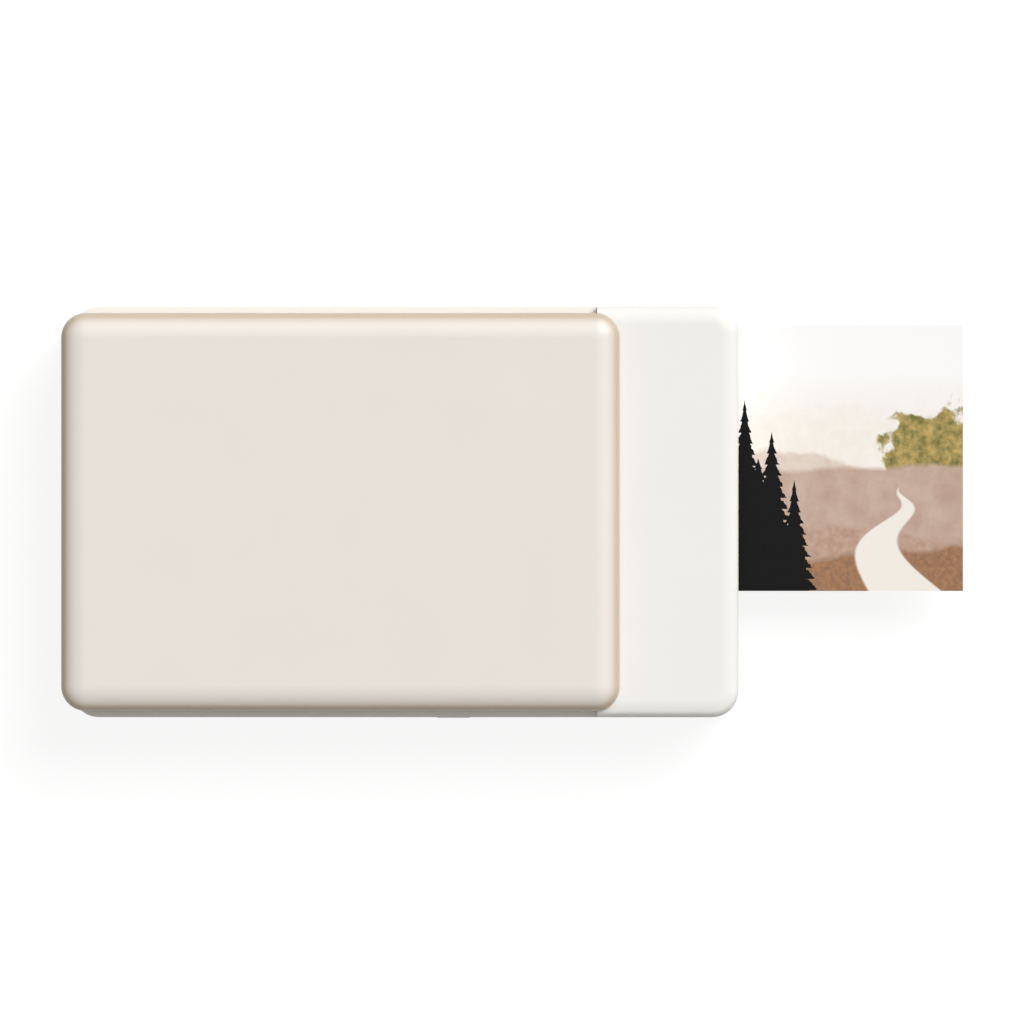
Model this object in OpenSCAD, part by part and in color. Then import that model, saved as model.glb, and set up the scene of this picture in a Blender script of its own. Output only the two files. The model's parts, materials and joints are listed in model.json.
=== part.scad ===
// Compact photo printer for 50 x 76 mm sheets, with a sliding paper cover.
// X runs along the long side and the print leaves at +X, +Y is the back, +Z is up.
// The origin is the middle of the flat bottom that the printer rests on. Millimetres.

/* [Base] */
// Length of the white base along X
base_l = 125; // [123:1:160]
// Width of the white base along Y
base_w = 77; // [76:1:100]
// Radius of the base's corners, seen from above
base_corner_r = 5; // [4.8:0.1:7]
// Wall thickness of the two white mouldings
wall = 1.6; // [1.3:0.1:2.2]
// Floor thickness of the bottom shell
floor_t = 1.6; // [1.3:0.1:2.2]
// Radius that rounds the bottom edge
bottom_edge_r = 2; // [1:0.1:3]
// Radius of the rim of the white deck, where it meets the sides
deck_edge_r = 1.6; // [1.2:0.1:3]
// Radius of the gentle crown inside that rim
deck_crown_r = 8; // [5:0.5:9]
// Thickness of the white deck
deck_t = 1.4; // [1:0.1:2]
// Height of the seam between bottom shell and top frame
split_z = 9.2; // [8.6:0.1:9.6]
// Drop from the deck to the ledge that the cover slides on
rail_drop = 3; // [2.5:0.1:4]
// Thickness of the ledge
ledge_t = 1.6; // [1.2:0.1:2]

/* [Cover] */
// Length of white deck that the closed cover leaves bare
deck_bare = 22.3; // [18:0.1:26]
// Height of the cover's top above the deck
cover_rise = 3; // [2.4:0.1:4]
// How far the cover stands past the base at its closed end
cover_overhang = 2; // [1.8:0.1:4]
// How far the cover's sides stand in from the base's sides
cover_inset = 1.2; // [1.1:0.05:1.5]
// Thickness of the cover's side walls
cover_wall = 1.2; // [1:0.1:1.3]
// Thickness of the cover's roof
cover_roof = 1.6; // [1.2:0.1:2]
// Radius of the cover's rim, where its top meets its sides
cover_edge_r = 2.4; // [1.6:0.1:2.6]
// Radius of the gentle crown inside that rim
cover_crown_r = 7; // [5:0.5:8]
// Radius of the cover's corners, seen from above
cover_corner_r = 4.6; // [4.5:0.1:7]
// Running gap between the cover and the base
cover_gap = 0.25; // [0.15:0.05:0.35]
// Height of the cover's end flap above the table
flap_z = 2; // [1.5:0.5:8]

/* [Paper] */
// Length of a sheet
paper_l = 76; // [70:1:80]
// Width of a sheet
paper_w = 50; // [40:1:54]
// Thickness of a sheet
sheet_t = 0.25; // [0.2:0.01:0.32]
// Sheets left in the tray
sheets = 9; // [1:1:11]
// Length of print that stands out of the slot
print_out = 42.3; // [5:0.1:55]
// Side play between the sheets and the mechanism plates
paper_play = 0.25; // [0.2:0.05:0.5]
// Thickness of the steel lift plate
lift_t = 0.5; // [0.4:0.1:0.8]
// Free travel under the lift plate
lift_gap = 1.2; // [1:0.1:2]

/* [Rollers] */
// Radius of the rubber on the platen and pickup rollers
roller_r = 3.3; // [2.8:0.1:4]
// Radius of both roller shafts
shaft_r = 1.25; // [1:0.05:1.5]
// Width of each pickup tyre
tyre_w = 10; // [6:1:14]
// Gap left at each nip
nip = 0.05; // [0.03:0.01:0.08]
// Radial clearance of a turning shaft
run_fit = 0.04; // [0.02:0.01:0.08]

/* [Gears] */
// Module of every gear
gear_m = 0.5; // [0.45:0.01:0.6]
// Face width of a gear
gear_w = 1.3; // [1:0.1:1.4]
// Play between meshing teeth, along the pitch circle
backlash = 0.12; // [0.08:0.01:0.16]

/* [Electrics] */
// Battery length along X
battery_l = 55; // [30:1:58]
// Battery width along Y
battery_w = 38; // [20:1:44]
// Battery thickness
battery_t = 4.1; // [3:0.1:4.6]
// Width of the motor can
motor_w = 12; // [9:0.5:13]
// Height of the motor can, across its flats
motor_h = 10; // [8:0.5:10]
// Length of the motor can
motor_l = 12; // [9:0.5:12.5]
// Thickness of the circuit board
board_t = 0.8; // [0.6:0.1:1.2]
// Width of the circuit board
board_w = 15.6; // [14:0.1:16]
// Distance of the USB socket from the exit end
port_back = 43.6; // [40:0.1:50]
// Travel of the power button
button_travel = 0.5; // [0.3:0.1:0.6]

/* [Hidden] */

white = "#f0ede8";
beige = "#e9e4db";
steel = "#b9bcc0";
dark = "#2b2c2f";
acetal = "#e6e2d6";
$fn = 48;

// Radial gap of a pressed joint, and of a moulded-on roller or gear
press_fit = 0.005;
bond_fit = 0.01;

// Teeth of each gear, and the tooth form
teeth_roller = 12;
teeth_idler = 15;
teeth_drive = 22;
teeth_small = 8;
teeth_big = 26;
pressure = 25;
addendum = 0.8 * gear_m;
dedendum = 1.05 * gear_m;
layer_gap = 0.3;
rotor_clear = 0.4;

function pitch_r(n) = n * gear_m / 2;
function tip_r(n) = pitch_r(n) + addendum;
function mesh(a, b) = pitch_r(a) + pitch_r(b);

// Heights, from the floor up
pad_t = 0.2;
battery_top = floor_t + pad_t + battery_t;
tray_clear = 0.3;
tray_z = battery_top + tray_clear;
tray_t = 1;
tray_top = tray_z + tray_t;
sheet_gap = 0.01;
stack_pitch = sheet_t + sheet_gap;
stack_h = sheets * stack_pitch;
stack_top_need = tray_top + lift_gap + lift_t + stack_h;
platen_need = floor_t + rotor_clear + tip_r(teeth_drive) + roller_r + nip;
peel_gap = 0.06;
path_z = max(stack_top_need + peel_gap, platen_need);
path_top = path_z + sheet_t;
stack_top = path_z - peel_gap;
lift_z = stack_top - stack_h - lift_t;
platen_z = path_z - nip - roller_r;
pickup_z = path_top + nip + roller_r;
drive_angle = 20;
compound_z = platen_z + mesh(teeth_small, teeth_drive) * sin(drive_angle);
deck_under = max(pickup_z + max(roller_r, tip_r(teeth_roller)) + rotor_clear,
                 compound_z + tip_r(teeth_big) + rotor_clear);
deck_z = deck_under + deck_t;
rail_z = deck_z - rail_drop;
ledge_under = rail_z - ledge_t;
cover_z = deck_z + cover_rise;

// Lengths, from the exit end inwards
half_l = base_l / 2;
half_w = base_w / 2;
inner_x = half_l - wall;
inner_y = half_w - wall;
end_room = 1.95;
compound_x = inner_x - end_room - tip_r(teeth_big);
platen_x = compound_x - mesh(teeth_small, teeth_drive) * cos(drive_angle);
idler_reach = 2 * mesh(teeth_roller, teeth_idler) + mesh(teeth_idler, teeth_idler);
chain_fold = 0.9633;
idler_span = chain_fold * idler_reach;
pickup_x = platen_x - sqrt(pow(idler_span, 2) - pow(pickup_z - platen_z, 2));
pickup_lead = 4.4;
stack_x1 = pickup_x + pickup_lead;
stack_x0 = stack_x1 - paper_l;
tray_wall = 1;
tray_play = 0.6;
tray_x0 = stack_x0 - tray_play - tray_wall;
tray_x1 = stack_x1 + tray_play / 2;
roller_room = 0.7;
bridge_x = pickup_x - roller_r - roller_room;
riser_t = 1.4;
cover_x0 = -half_l - cover_overhang;
cover_x1 = half_l - deck_bare;
// The cover's skirts end where its corners begin, and a gap before the deck
skirt_x = cover_x1 - cover_corner_r;
skirt_gap = 0.4;
rail_x1 = skirt_x + skirt_gap;
print_x1 = half_l + print_out;
print_x0 = print_x1 - paper_l;

// Widths, from the back wall forwards
runner_t = 0.5;
runner_inset = 0.1;
runner_y = inner_y - runner_inset - runner_t;
hook_reach = 0.65;
hook_h = 0.8;
hook_drop = 0.6;
hook_z = ledge_under - hook_drop;
slot_play = 0.3;
slot_y = runner_y - slot_play;
back_plate_t = 0.7;
plate_tuck = 0.1;
back_plate_y = slot_y - back_plate_t + plate_tuck;
paper_y1 = back_plate_y - paper_play;
paper_y0 = paper_y1 - paper_w;
paper_yc = (paper_y0 + paper_y1) / 2;
gear_plate_t = 1;
gear_side_room = 2.15;
gear_plate_y = paper_y0 - gear_side_room;
tray_front_play = 0.35;
tray_y0 = paper_y0 - tray_front_play - tray_wall;
tray_back_t = 0.55;
tray_back_play = 0.2;
tray_y1 = paper_y1 + tray_back_play + tray_back_t;
plate_gap = 0.2;
layer_1 = gear_plate_y - gear_plate_t - plate_gap;
layer_2 = layer_1 - gear_w - layer_gap;
layer_3 = layer_2 - gear_w - layer_gap;
pinion_gap = 0.4;
motor_y = layer_3 - gear_w - pinion_gap;
bracket_t = 0.8;
can_y = motor_y - bracket_t;

// Gear centres in the XZ plane
platen_c = [platen_x, platen_z];
pickup_c = [pickup_x, pickup_z];
compound_c = [compound_x, compound_z];
motor_angle = 200;
motor_c = compound_c + mesh(teeth_small, teeth_big) * [cos(motor_angle), sin(motor_angle)];
to_pickup = (pickup_c - platen_c) / norm(pickup_c - platen_c);
drop_dir = [-to_pickup[1], to_pickup[0]];
idler_along = (norm(pickup_c - platen_c) - mesh(teeth_idler, teeth_idler)) / 2;
idler_drop = sqrt(pow(mesh(teeth_roller, teeth_idler), 2) - pow(idler_along, 2));
idler_a = platen_c + idler_along * to_pickup + idler_drop * drop_dir;
idler_b = pickup_c - idler_along * to_pickup + idler_drop * drop_dir;

// Angle of one tooth of gear b so that it meshes with gear a, whose tooth stands at angle_a
function heading(a, b) = atan2(b[1] - a[1], b[0] - a[0]);
function meshed(a, b, angle_a, n_a, n_b) =
    heading(a, b) + 180 - (angle_a - heading(a, b)) * n_a / n_b + 180 / n_b;
platen_turn = 0;
idler_a_turn = meshed(platen_c, idler_a, platen_turn, teeth_roller, teeth_idler);
idler_b_turn = meshed(idler_a, idler_b, idler_a_turn, teeth_idler, teeth_idler);
pickup_turn = meshed(idler_b, pickup_c, idler_b_turn, teeth_idler, teeth_roller);
small_turn = meshed(platen_c, compound_c, platen_turn, teeth_drive, teeth_small);
motor_turn = meshed(compound_c, motor_c, small_turn, teeth_big, teeth_small);

// Thermal head
head_x0 = platen_x - 3.5;
head_x1 = platen_x + 5;
ceramic_t = 0.7;
heatsink_z = path_top + nip + ceramic_t;
heatsink_t = 2;
pivot_x = platen_x + 11.5;
pivot_z = heatsink_z + heatsink_t / 2;
pivot_r = 0.6;
bridge_t = 0.8;
bridge_z = deck_under - 0.4 - bridge_t;
head_spring_r = 1.8;
head_spring_y = [paper_yc - 15, paper_yc + 15];

// Lift plate hinge and springs
hinge_x = stack_x0 + 2.1;
hinge_r = 0.5;
hinge_z = lift_z - 0.6;
lug_r = 0.95;
lug_w = 3;
lug_y = [paper_y0 + 4, paper_y1 - 7];
lift_spring_x = pickup_x - 4;
lift_spring_y = [paper_yc - 10, paper_yc + 10];
lift_spring_r = 2.2;
spring_wire = 0.2;
well_r = 2.8;
well_wall = 0.8;
well_z = floor_t + 0.6;

// Front controls and board
board_z = floor_t + 2;
board_top = board_z + board_t;
board_y0 = -inner_y + button_travel + 0.9;
board_x0 = -half_l + 12.5;
port_x = half_l - port_back;
port = [8.94, 3.26, 7.3];
board_x1 = max(pickup_x, port_x + port[0] / 2 + 2.6);
port_z = board_top + port[1] / 2;
button_x = port_x - 9.9;
button = [6.2, 2.4];
button_z = board_top + 1.6;
pipe_x = port_x - 5.55;
pipe_r = 0.55;
switch_y = board_y0 + 0.4;
flange_t = 0.5;
flange_y = -inner_y + 0.15;
button_proud = 0.25;

// Screws
boss_r = 2.6;
case_screw_at = [[-half_l + 6.5, -half_w + 7.5], [-half_l + 5, half_w - 7.5],
                 [half_l - 6, -half_w + 7]];
screw_r = 1;
screw_head_r = 1.9;
screw_head_t = 1.2;
screw_seat = 3.4;
foot_z = floor_t + 3;
foot_t = 0.8;
foot_x = [platen_x - 9, platen_x + 11];
foot_w = 5;
small_screw_r = 0.8;
small_head_r = 1.5;

// Points of a rectangle with rounded corners, centred on the origin
function corner_pts(cx, cy, r, start) =
    [for (a = [0:7.5:90]) [cx + r * cos(start + a), cy + r * sin(start + a)]];
function rounded_pts(l, w, r) = concat(
    corner_pts(l / 2 - r, w / 2 - r, r, 0), corner_pts(-l / 2 + r, w / 2 - r, r, 90),
    corner_pts(-l / 2 + r, -w / 2 + r, r, 180), corner_pts(l / 2 - r, -w / 2 + r, r, 270));

// A box given by its low and high corners
module span(low, high) {
    translate(low) cube(high - low);
}

// A vertical prism with rounded corners, between two heights
module slab(x0, x1, y0, y1, z0, z1, r) {
    translate([(x0 + x1) / 2, (y0 + y1) / 2, z0])
        linear_extrude(z1 - z0) polygon(rounded_pts(x1 - x0, y1 - y0, r));
}

// A cylinder along Y from y0 to y1, at a point of the XZ plane
module rod_y(at, y0, y1, r) {
    translate([at[0], y1, at[1]]) rotate([90, 0, 0]) cylinder(r = r, h = y1 - y0);
}

// Slope at which a rim meets its crown, in degrees
deck_crown_a = 15;
cover_crown_a = 30;
// Insets and heights of a rounded box's outline, from the bottom up
function rounding(z0, z1, low_r, rim_r, crown_r, crown_a) = concat(
    [for (a = [0:15:90]) [low_r * (1 - sin(a)), z0 + low_r * (1 - cos(a))]],
    [for (a = [90:-7.5:crown_a])
        [rim_r * (1 - sin(a)), z1 - crown_r * (1 - cos(crown_a)) - rim_r * (cos(crown_a) - cos(a))]],
    [for (a = [crown_a - 5:-5:0])
        [rim_r * (1 - sin(crown_a)) + crown_r * (sin(crown_a) - sin(a)), z1 - crown_r * (1 - cos(a))]]);

// A rounded box: upright corners of radius r, a plain rounding below, and above it a rim with a crown inside
least_r = 0.6;
module pillow(x0, x1, y0, y1, z0, z1, r, low_r, rim_r, crown_r, crown_a) {
    levels = rounding(z0, z1, low_r, rim_r, crown_r, crown_a);
    rings = [for (v = levels)
        [for (p = rounded_pts(x1 - x0 - 2 * v[0], y1 - y0 - 2 * v[0], max(r - v[0], least_r)))
            [p[0] + (x0 + x1) / 2, p[1] + (y0 + y1) / 2, v[1]]]];
    n = len(rings[0]);
    top = (len(rings) - 1) * n;
    walls = [for (i = [0:len(rings) - 2], k = [0:n - 1])
        let (a = i * n + k, b = i * n + (k + 1) % n) [a, a + n, b + n, b]];
    caps = [[for (k = [0:n - 1]) k], [for (k = [n - 1:-1:0]) top + k]];
    polyhedron(points = [for (ring = rings) each ring], faces = concat(walls, caps));
}

// A tube swept along a list of points
function unit(v) = v / norm(v);
function heading_at(pts, i) = unit(pts[min(i + 1, len(pts) - 1)] - pts[max(i - 1, 0)]);
function ring(pts, i, r, sides, up) =
    let (t = heading_at(pts, i), s = unit(cross(t, up)), u = cross(s, t))
    [for (k = [0:sides - 1]) pts[i] + r * (cos(k * 360 / sides) * s + sin(k * 360 / sides) * u)];
module tube(pts, r, sides, up) {
    n = len(pts);
    corners = [for (i = [0:n - 1]) each ring(pts, i, r, sides, up)];
    walls = [for (i = [0:n - 2], k = [0:sides - 1])
        let (a = i * sides + k, b = i * sides + (k + 1) % sides)
        each [[a, b, b + sides], [a, b + sides, a + sides]]];
    caps = [[for (k = [sides - 1:-1:0]) k], [for (k = [0:sides - 1]) (n - 1) * sides + k]];
    polyhedron(points = corners, faces = concat(walls, caps));
}

// A compression spring standing on z0
module coil(r, wire, z0, z1, turns) {
    steps = 12;
    rise = z1 - z0 - 2 * wire;
    pts = [for (i = [0:turns * steps])
        [(r - wire) * cos(i * 360 / steps), (r - wire) * sin(i * 360 / steps),
         z0 + wire + rise * i / (turns * steps)]];
    tube(pts, wire, 6, [0, 0, 1]);
}

// Outline of an involute gear with one tooth centred on the given angle
function involute(base, r) = sqrt(pow(r / base, 2) - 1) * 180 / PI - acos(base / r);
function flank(n, r) =
    let (base = pitch_r(n) * cos(pressure))
    90 / n - backlash / 4 / pitch_r(n) * 180 / PI + involute(base, pitch_r(n)) - involute(base, r);
function tooth(n, angle) =
    let (base = pitch_r(n) * cos(pressure), root = pitch_r(n) - dedendum, low = max(base, root) + 0.001,
         radii = [for (i = [0:4]) low + (tip_r(n) - low) * i / 4])
    concat([root * [cos(angle - flank(n, low)), sin(angle - flank(n, low))]],
        [for (r = radii) r * [cos(angle - flank(n, r)), sin(angle - flank(n, r))]],
        [for (i = [4:-1:0]) radii[i] * [cos(angle + flank(n, radii[i])), sin(angle + flank(n, radii[i]))]],
        [root * [cos(angle + flank(n, low)), sin(angle + flank(n, low))]]);
module gear(at, n, angle, y1, width) {
    translate([at[0], y1, at[1]]) rotate([90, 0, 0]) linear_extrude(width)
        polygon([for (i = [0:n - 1]) each tooth(n, angle + i * 360 / n)]);
}

// The outside of the white base
module base_envelope() {
    pillow(-half_l, half_l, -half_w, half_w, 0, deck_z, base_corner_r, bottom_edge_r,
           deck_edge_r, deck_crown_r, deck_crown_a);
}

// Openings of the front wall: button, light pipe and USB socket
module front_openings() {
    span([button_x - button[0] / 2 - 0.15, -half_w - 1, button_z - button[1] / 2 - 0.15],
         [button_x + button[0] / 2 + 0.15, -inner_y + 1, button_z + button[1] / 2 + 0.15]);
    rod_y([pipe_x, button_z], -half_w - 1, -inner_y + 1, pipe_r + 0.02);
    translate([port_x, -inner_y + 1, port_z]) rotate([90, 0, 0])
        linear_extrude(wall + 2) polygon(rounded_pts(port[0] + 0.5, port[1] + 0.5, 1.8));
}

// Where the mechanism's feet are screwed down, as points of the XY plane
gear_foot_y = gear_plate_y + foot_w / 2;
back_foot_y = back_plate_y - foot_w / 2;
foot_at = [for (x = foot_x, y = [gear_foot_y, back_foot_y]) [x, y]];
post_r = 1.5;
pad_x = 4;
foot_post_r = 1.9;
root_z = 0.5;
battery_x0 = stack_x0 + 3.2;
rib_x0 = battery_x0 + battery_l + 0.4;
rib_half = 15;
board_post_at = [for (x = [board_x0 + 4, board_x1 - 6], y = [board_y0 + 8, board_y0 + board_w - 2.5]) [x, y]];
tray_post_at = [for (x = [tray_x0 + 2.6, lift_spring_x - 5.5], y = [tray_y0 + 2.4, tray_y1 - 4]) [x, y]];
catch_y = [half_w - 14, half_w - 9];
catch_z = split_z - 2.2;

module bottom_shell() color(white) {
    difference() {
        union() {
            difference() {
                intersection() {
                    base_envelope();
                    span([-half_l - 1, -half_w - 1, 0], [half_l + 1, half_w + 1, split_z]);
                }
                slab(-inner_x, inner_x, -inner_y, inner_y, floor_t, split_z + 1, base_corner_r - wall);
            }
            for (p = case_screw_at)
                translate([p[0], p[1], root_z]) cylinder(r = boss_r, h = split_z - root_z);
            for (p = foot_at)
                translate([p[0], p[1], root_z]) cylinder(r = foot_post_r, h = foot_z - root_z);
            for (p = board_post_at)
                translate([p[0], p[1], root_z]) cylinder(r = post_r, h = board_z - root_z);
            for (p = tray_post_at)
                translate([p[0], p[1], root_z]) cylinder(r = post_r, h = tray_z - root_z);
            // Rib that keeps the battery from sliding under the mechanism
            span([rib_x0, paper_yc - rib_half, root_z], [rib_x0 + 1, paper_yc + rib_half, battery_top - 0.5]);
            // Two pads under the motor can
            for (s = [-1, 1])
                span([motor_c[0] + s * pad_x - 1, can_y - motor_l + 1, root_z],
                     [motor_c[0] + s * pad_x + 1, can_y - 3, motor_c[1] - motor_h / 2]);
        }
        for (p = case_screw_at) translate([p[0], p[1], 0]) {
            translate([0, 0, -1]) cylinder(r = screw_head_r + 0.2, h = screw_seat + 1);
            cylinder(r = screw_r + 0.1, h = split_z + 1);
        }
        for (p = foot_at) translate([p[0], p[1], floor_t - 0.6])
            cylinder(r = small_screw_r - 0.1, h = foot_z);
        front_openings();
        // Pocket in the end wall for the frame's catch
        span([inner_x - 1, catch_y[0] - 0.3, catch_z + 0.1],
             [inner_x + 0.6, catch_y[1] + 0.3, catch_z + 1.2]);
    }
}

groove_top = hook_z + hook_h + 0.2;
exit_slot_h = 1.4;
seam_d = 0.4;
frame_room_r = 2.5;
frame_room_y = slot_y + 0.25;
exit_slot_z = path_z + sheet_t / 2 - exit_slot_h / 2;

module top_frame() color(white) {
    difference() {
        union() {
            difference() {
                intersection() {
                    base_envelope();
                    span([-half_l - 1, -half_w - 1, split_z], [half_l + 1, half_w + 1, deck_z + 1]);
                }
                // Everything above the ledge, up to the deck
                span([-half_l - 1, -half_w - 1, rail_z], [bridge_x - riser_t, half_w + 1, deck_z + 1]);
                difference() {
                    span([-half_l, -half_w - 1, rail_z], [rail_x1, half_w + 1, deck_z + 1]);
                    span([bridge_x - riser_t, -slot_y, rail_z - 1], [rail_x1 + 1, slot_y, deck_z + 2]);
                }
                slab(-inner_x, inner_x, -inner_y, inner_y, split_z - 1, ledge_under, base_corner_r - wall);
                // The room under the bridge and the deck
                slab(bridge_x, inner_x, -frame_room_y, frame_room_y, ledge_under - 1, deck_under,
                     frame_room_r);
                span([bridge_x, -frame_room_y, ledge_under - 1], [bridge_x + 4, frame_room_y, deck_under]);
                // Paper opening
                span([tray_x0 + tray_wall, tray_y0 + tray_wall, ledge_under - 1],
                     [bridge_x - riser_t, slot_y, deck_z]);
            }
            for (p = case_screw_at)
                translate([p[0], p[1], split_z]) cylinder(r = boss_r, h = ledge_under + 0.5 - split_z);
            translate([case_screw_at[2][0], case_screw_at[2][1], ledge_under])
                cylinder(r = boss_r, h = deck_under + 0.5 - ledge_under);
            // Catch at the corner that the paper path keeps clear of screws
            span([inner_x - 0.9, catch_y[0], catch_z], [inner_x - 0.1, catch_y[1], split_z + 0.5]);
            span([inner_x - 0.2, catch_y[0], catch_z + 0.3], [inner_x + 0.4, catch_y[1], catch_z + 0.9]);
            span([inner_x - 0.9, catch_y[0], split_z], [inner_x + 0.5, catch_y[1], split_z + 0.9]);
        }
        // Slots and hook grooves for the cover's runners, open at the closed end
        for (s = [-1, 1]) {
            mirror([0, s < 0 ? 1 : 0, 0]) {
                span([-half_l - 1, slot_y, hook_z - 0.25], [rail_x1, inner_y + 0.05, deck_z + 1]);
                span([-half_l - 1, inner_y - 0.5, hook_z - 0.25],
                     [rail_x1, runner_y + runner_t + hook_reach + 0.2, groove_top]);
            }
        }
        for (p = case_screw_at)
            translate([p[0], p[1], split_z - 1]) cylinder(r = screw_r - 0.1, h = 6.5);
        span([inner_x - 1, paper_y0 - 0.6, exit_slot_z],
             [half_l + 1, paper_y1 + 0.6, exit_slot_z + exit_slot_h]);
        // Shadow line of the seam
        difference() {
            span([-half_l - 1, -half_w - 1, split_z - 0.1], [half_l + 1, half_w + 1, split_z + 0.3]);
            slab(-half_l + seam_d, half_l - seam_d, -half_w + seam_d, half_w - seam_d,
                 split_z - 1, split_z + 1, base_corner_r - seam_d);
        }
    }
}

flap_reach = 14;
flap_inset = 2.3;
low_end = 6;
module top_cover() color(beige) {
    half = half_w - cover_inset;
    inside_y = runner_y - 0.01;
    bottom = rail_z + cover_gap;
    runner_x = [-half_l + 2, skirt_x];
    difference() {
        union() {
            difference() {
                pillow(cover_x0, cover_x1, -half, half, bottom - cover_edge_r - 1, cover_z,
                       cover_corner_r, 0.5, cover_edge_r, cover_crown_r, cover_crown_a);
                span([cover_x0 - 1, -half - 1, 0], [cover_x1 + 1, half + 1, bottom]);
            }
            // End flap that wraps down over the closed end
            difference() {
                slab(cover_x0, cover_x0 + flap_reach, -half, half, flap_z, bottom + 0.5, cover_corner_r);
                span([-half_l - cover_gap, -half - 1, 0], [0, half + 1, bottom]);
                for (s = [-1, 1])
                    span([cover_x0 - 1, s > 0 ? half - flap_inset : -half - 1, 0],
                         [0, s > 0 ? half + 1 : -half + flap_inset, bottom]);
            }
            // Runners with their hooks
            for (s = [0, 1]) mirror([0, s, 0]) {
                span([runner_x[0], runner_y, hook_z], [runner_x[1], runner_y + runner_t, bottom + 0.5]);
                span([runner_x[0], runner_y, hook_z],
                     [runner_x[1], runner_y + runner_t + hook_reach, hook_z + hook_h]);
            }
        }
        // Inside of the cover
        slab(cover_x0 + cover_wall + 0.3, cover_x1 - cover_wall, -inside_y, inside_y, bottom - 0.5,
             cover_z - cover_roof, cover_corner_r - cover_wall);
        // Corners that follow the deck
        intersection() {
            translate([0, 0, cover_gap]) base_envelope();
            span([skirt_x, -half_w - 1, bottom - 1], [cover_x1 + 1, half_w + 1, deck_z + 1]);
        }
        // Low end, so that the cover passes over the bridge
        span([cover_x1 - low_end, -inside_y, bottom - 1], [cover_x1 + 1, inside_y, deck_z + cover_gap]);
        // Clear the base's own end wall
        span([-half_l - cover_gap, -inside_y, 0], [-half_l + 3, inside_y, bottom]);
    }
}

module paper_tray() color(dark) {
    difference() {
        union() {
            span([tray_x0, tray_y0, tray_z], [tray_x1, tray_y1, tray_top]);
            span([tray_x0, tray_y0, tray_z], [tray_x0 + tray_wall, tray_y1, ledge_under - 1.2]);
            span([tray_x0, tray_y0, tray_z],
                 [bridge_x - riser_t - 1, tray_y0 + tray_wall, ledge_under - 1.2]);
            span([tray_x0, tray_y0, tray_z], [tray_x1, tray_y0 + tray_wall, path_z + 0.2]);
            span([tray_x0, tray_y1 - tray_back_t, tray_z], [bridge_x - riser_t - 1, tray_y1, hook_z - 0.7]);
            for (y = lift_spring_y)
                translate([lift_spring_x, y, well_z]) cylinder(r = well_r + well_wall, h = tray_top - well_z);
        }
        for (y = lift_spring_y)
            translate([lift_spring_x, y, well_z + 0.6]) cylinder(r = well_r, h = tray_top);
        // Windows for the hinge lugs
        for (y = lug_y)
            span([hinge_x - 1.8, y - 0.4, tray_z - 1], [hinge_x + 1.8, y + lug_w + 0.4, tray_top + 0.1]);
        rod_y([hinge_x, hinge_z], tray_y0 + 0.3, tray_y1 - 0.15, hinge_r + 0.01);
        // Notch for the back plate of the mechanism
        span([bridge_x - riser_t - 1, back_plate_y - 0.2, tray_z - 1],
             [tray_x1 + 1, tray_y1 + 1, ledge_under]);
    }
}

module lift_plate() color(steel) {
    difference() {
        union() {
            span([stack_x0 + 0.3, paper_y0 + 0.3, lift_z], [stack_x1 - 0.6, paper_y1 - 0.3, lift_z + lift_t]);
            for (y = lug_y) {
                rod_y([hinge_x, hinge_z], y, y + lug_w, lug_r);
                span([hinge_x - lug_r, y, hinge_z], [hinge_x + lug_r, y + lug_w, lift_z + lift_t / 2]);
            }
        }
        for (y = lug_y)
            rod_y([hinge_x, hinge_z], y - 1, y + lug_w + 1, hinge_r + run_fit);
    }
}

module lift_plate_pin() color(steel) {
    rod_y([hinge_x, hinge_z], tray_y0 + 0.35, tray_y1 - 0.2, hinge_r);
}

module lift_springs() color(steel) {
    for (y = lift_spring_y)
        translate([lift_spring_x, y, 0]) coil(lift_spring_r, spring_wire, well_z + 0.62, lift_z - 0.02, 5);
}

stack_z = lift_z + lift_t + sheet_gap / 2;
module paper_stack() color("white") {
    for (i = [0:sheets - 1])
        span([stack_x0, paper_y0, stack_z + i * stack_pitch],
             [stack_x1, paper_y1, stack_z + i * stack_pitch + sheet_t]);
}

module print_sheet() color("white") {
    span([print_x0, paper_y0, path_z], [print_x1, paper_y1, path_top]);
}

bush_flange_r = 2.4;
bush_body_r = 1.9;
shaft_front = layer_2 - gear_w;

// A flanged bush on each side plate; the flange is inside
module bush_pair(at) {
    difference() {
        union() {
            rod_y(at, gear_plate_y - gear_plate_t, gear_plate_y, bush_body_r);
            rod_y(at, gear_plate_y, gear_plate_y + 0.5, bush_flange_r);
            rod_y(at, back_plate_y, back_plate_y + back_plate_t, bush_body_r);
            rod_y(at, back_plate_y - 0.15, back_plate_y, bush_flange_r);
        }
        rod_y(at, gear_plate_y - 5, back_plate_y + 5, shaft_r + run_fit);
    }
}

module pickup_shaft() color(steel) {
    rod_y(pickup_c, layer_1 - gear_w - 0.1, back_plate_y + back_plate_t - 0.02, shaft_r);
}

tyre_y = [paper_yc - 13, paper_yc + 3];
module pickup_tyres() color(dark) {
    for (y = tyre_y) difference() {
        rod_y(pickup_c, y, y + tyre_w, roller_r);
        rod_y(pickup_c, y - 1, y + tyre_w + 1, shaft_r + bond_fit);
    }
}

module pickup_gear() color(acetal) {
    difference() {
        gear(pickup_c, teeth_roller, pickup_turn, layer_1, gear_w);
        rod_y(pickup_c, layer_1 - 3, layer_1 + 1, shaft_r + bond_fit);
    }
}

module pickup_bushes() color(acetal) {
    bush_pair(pickup_c);
}

module platen_shaft() color(steel) {
    rod_y(platen_c, shaft_front, back_plate_y + back_plate_t - 0.02, shaft_r);
}

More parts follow.
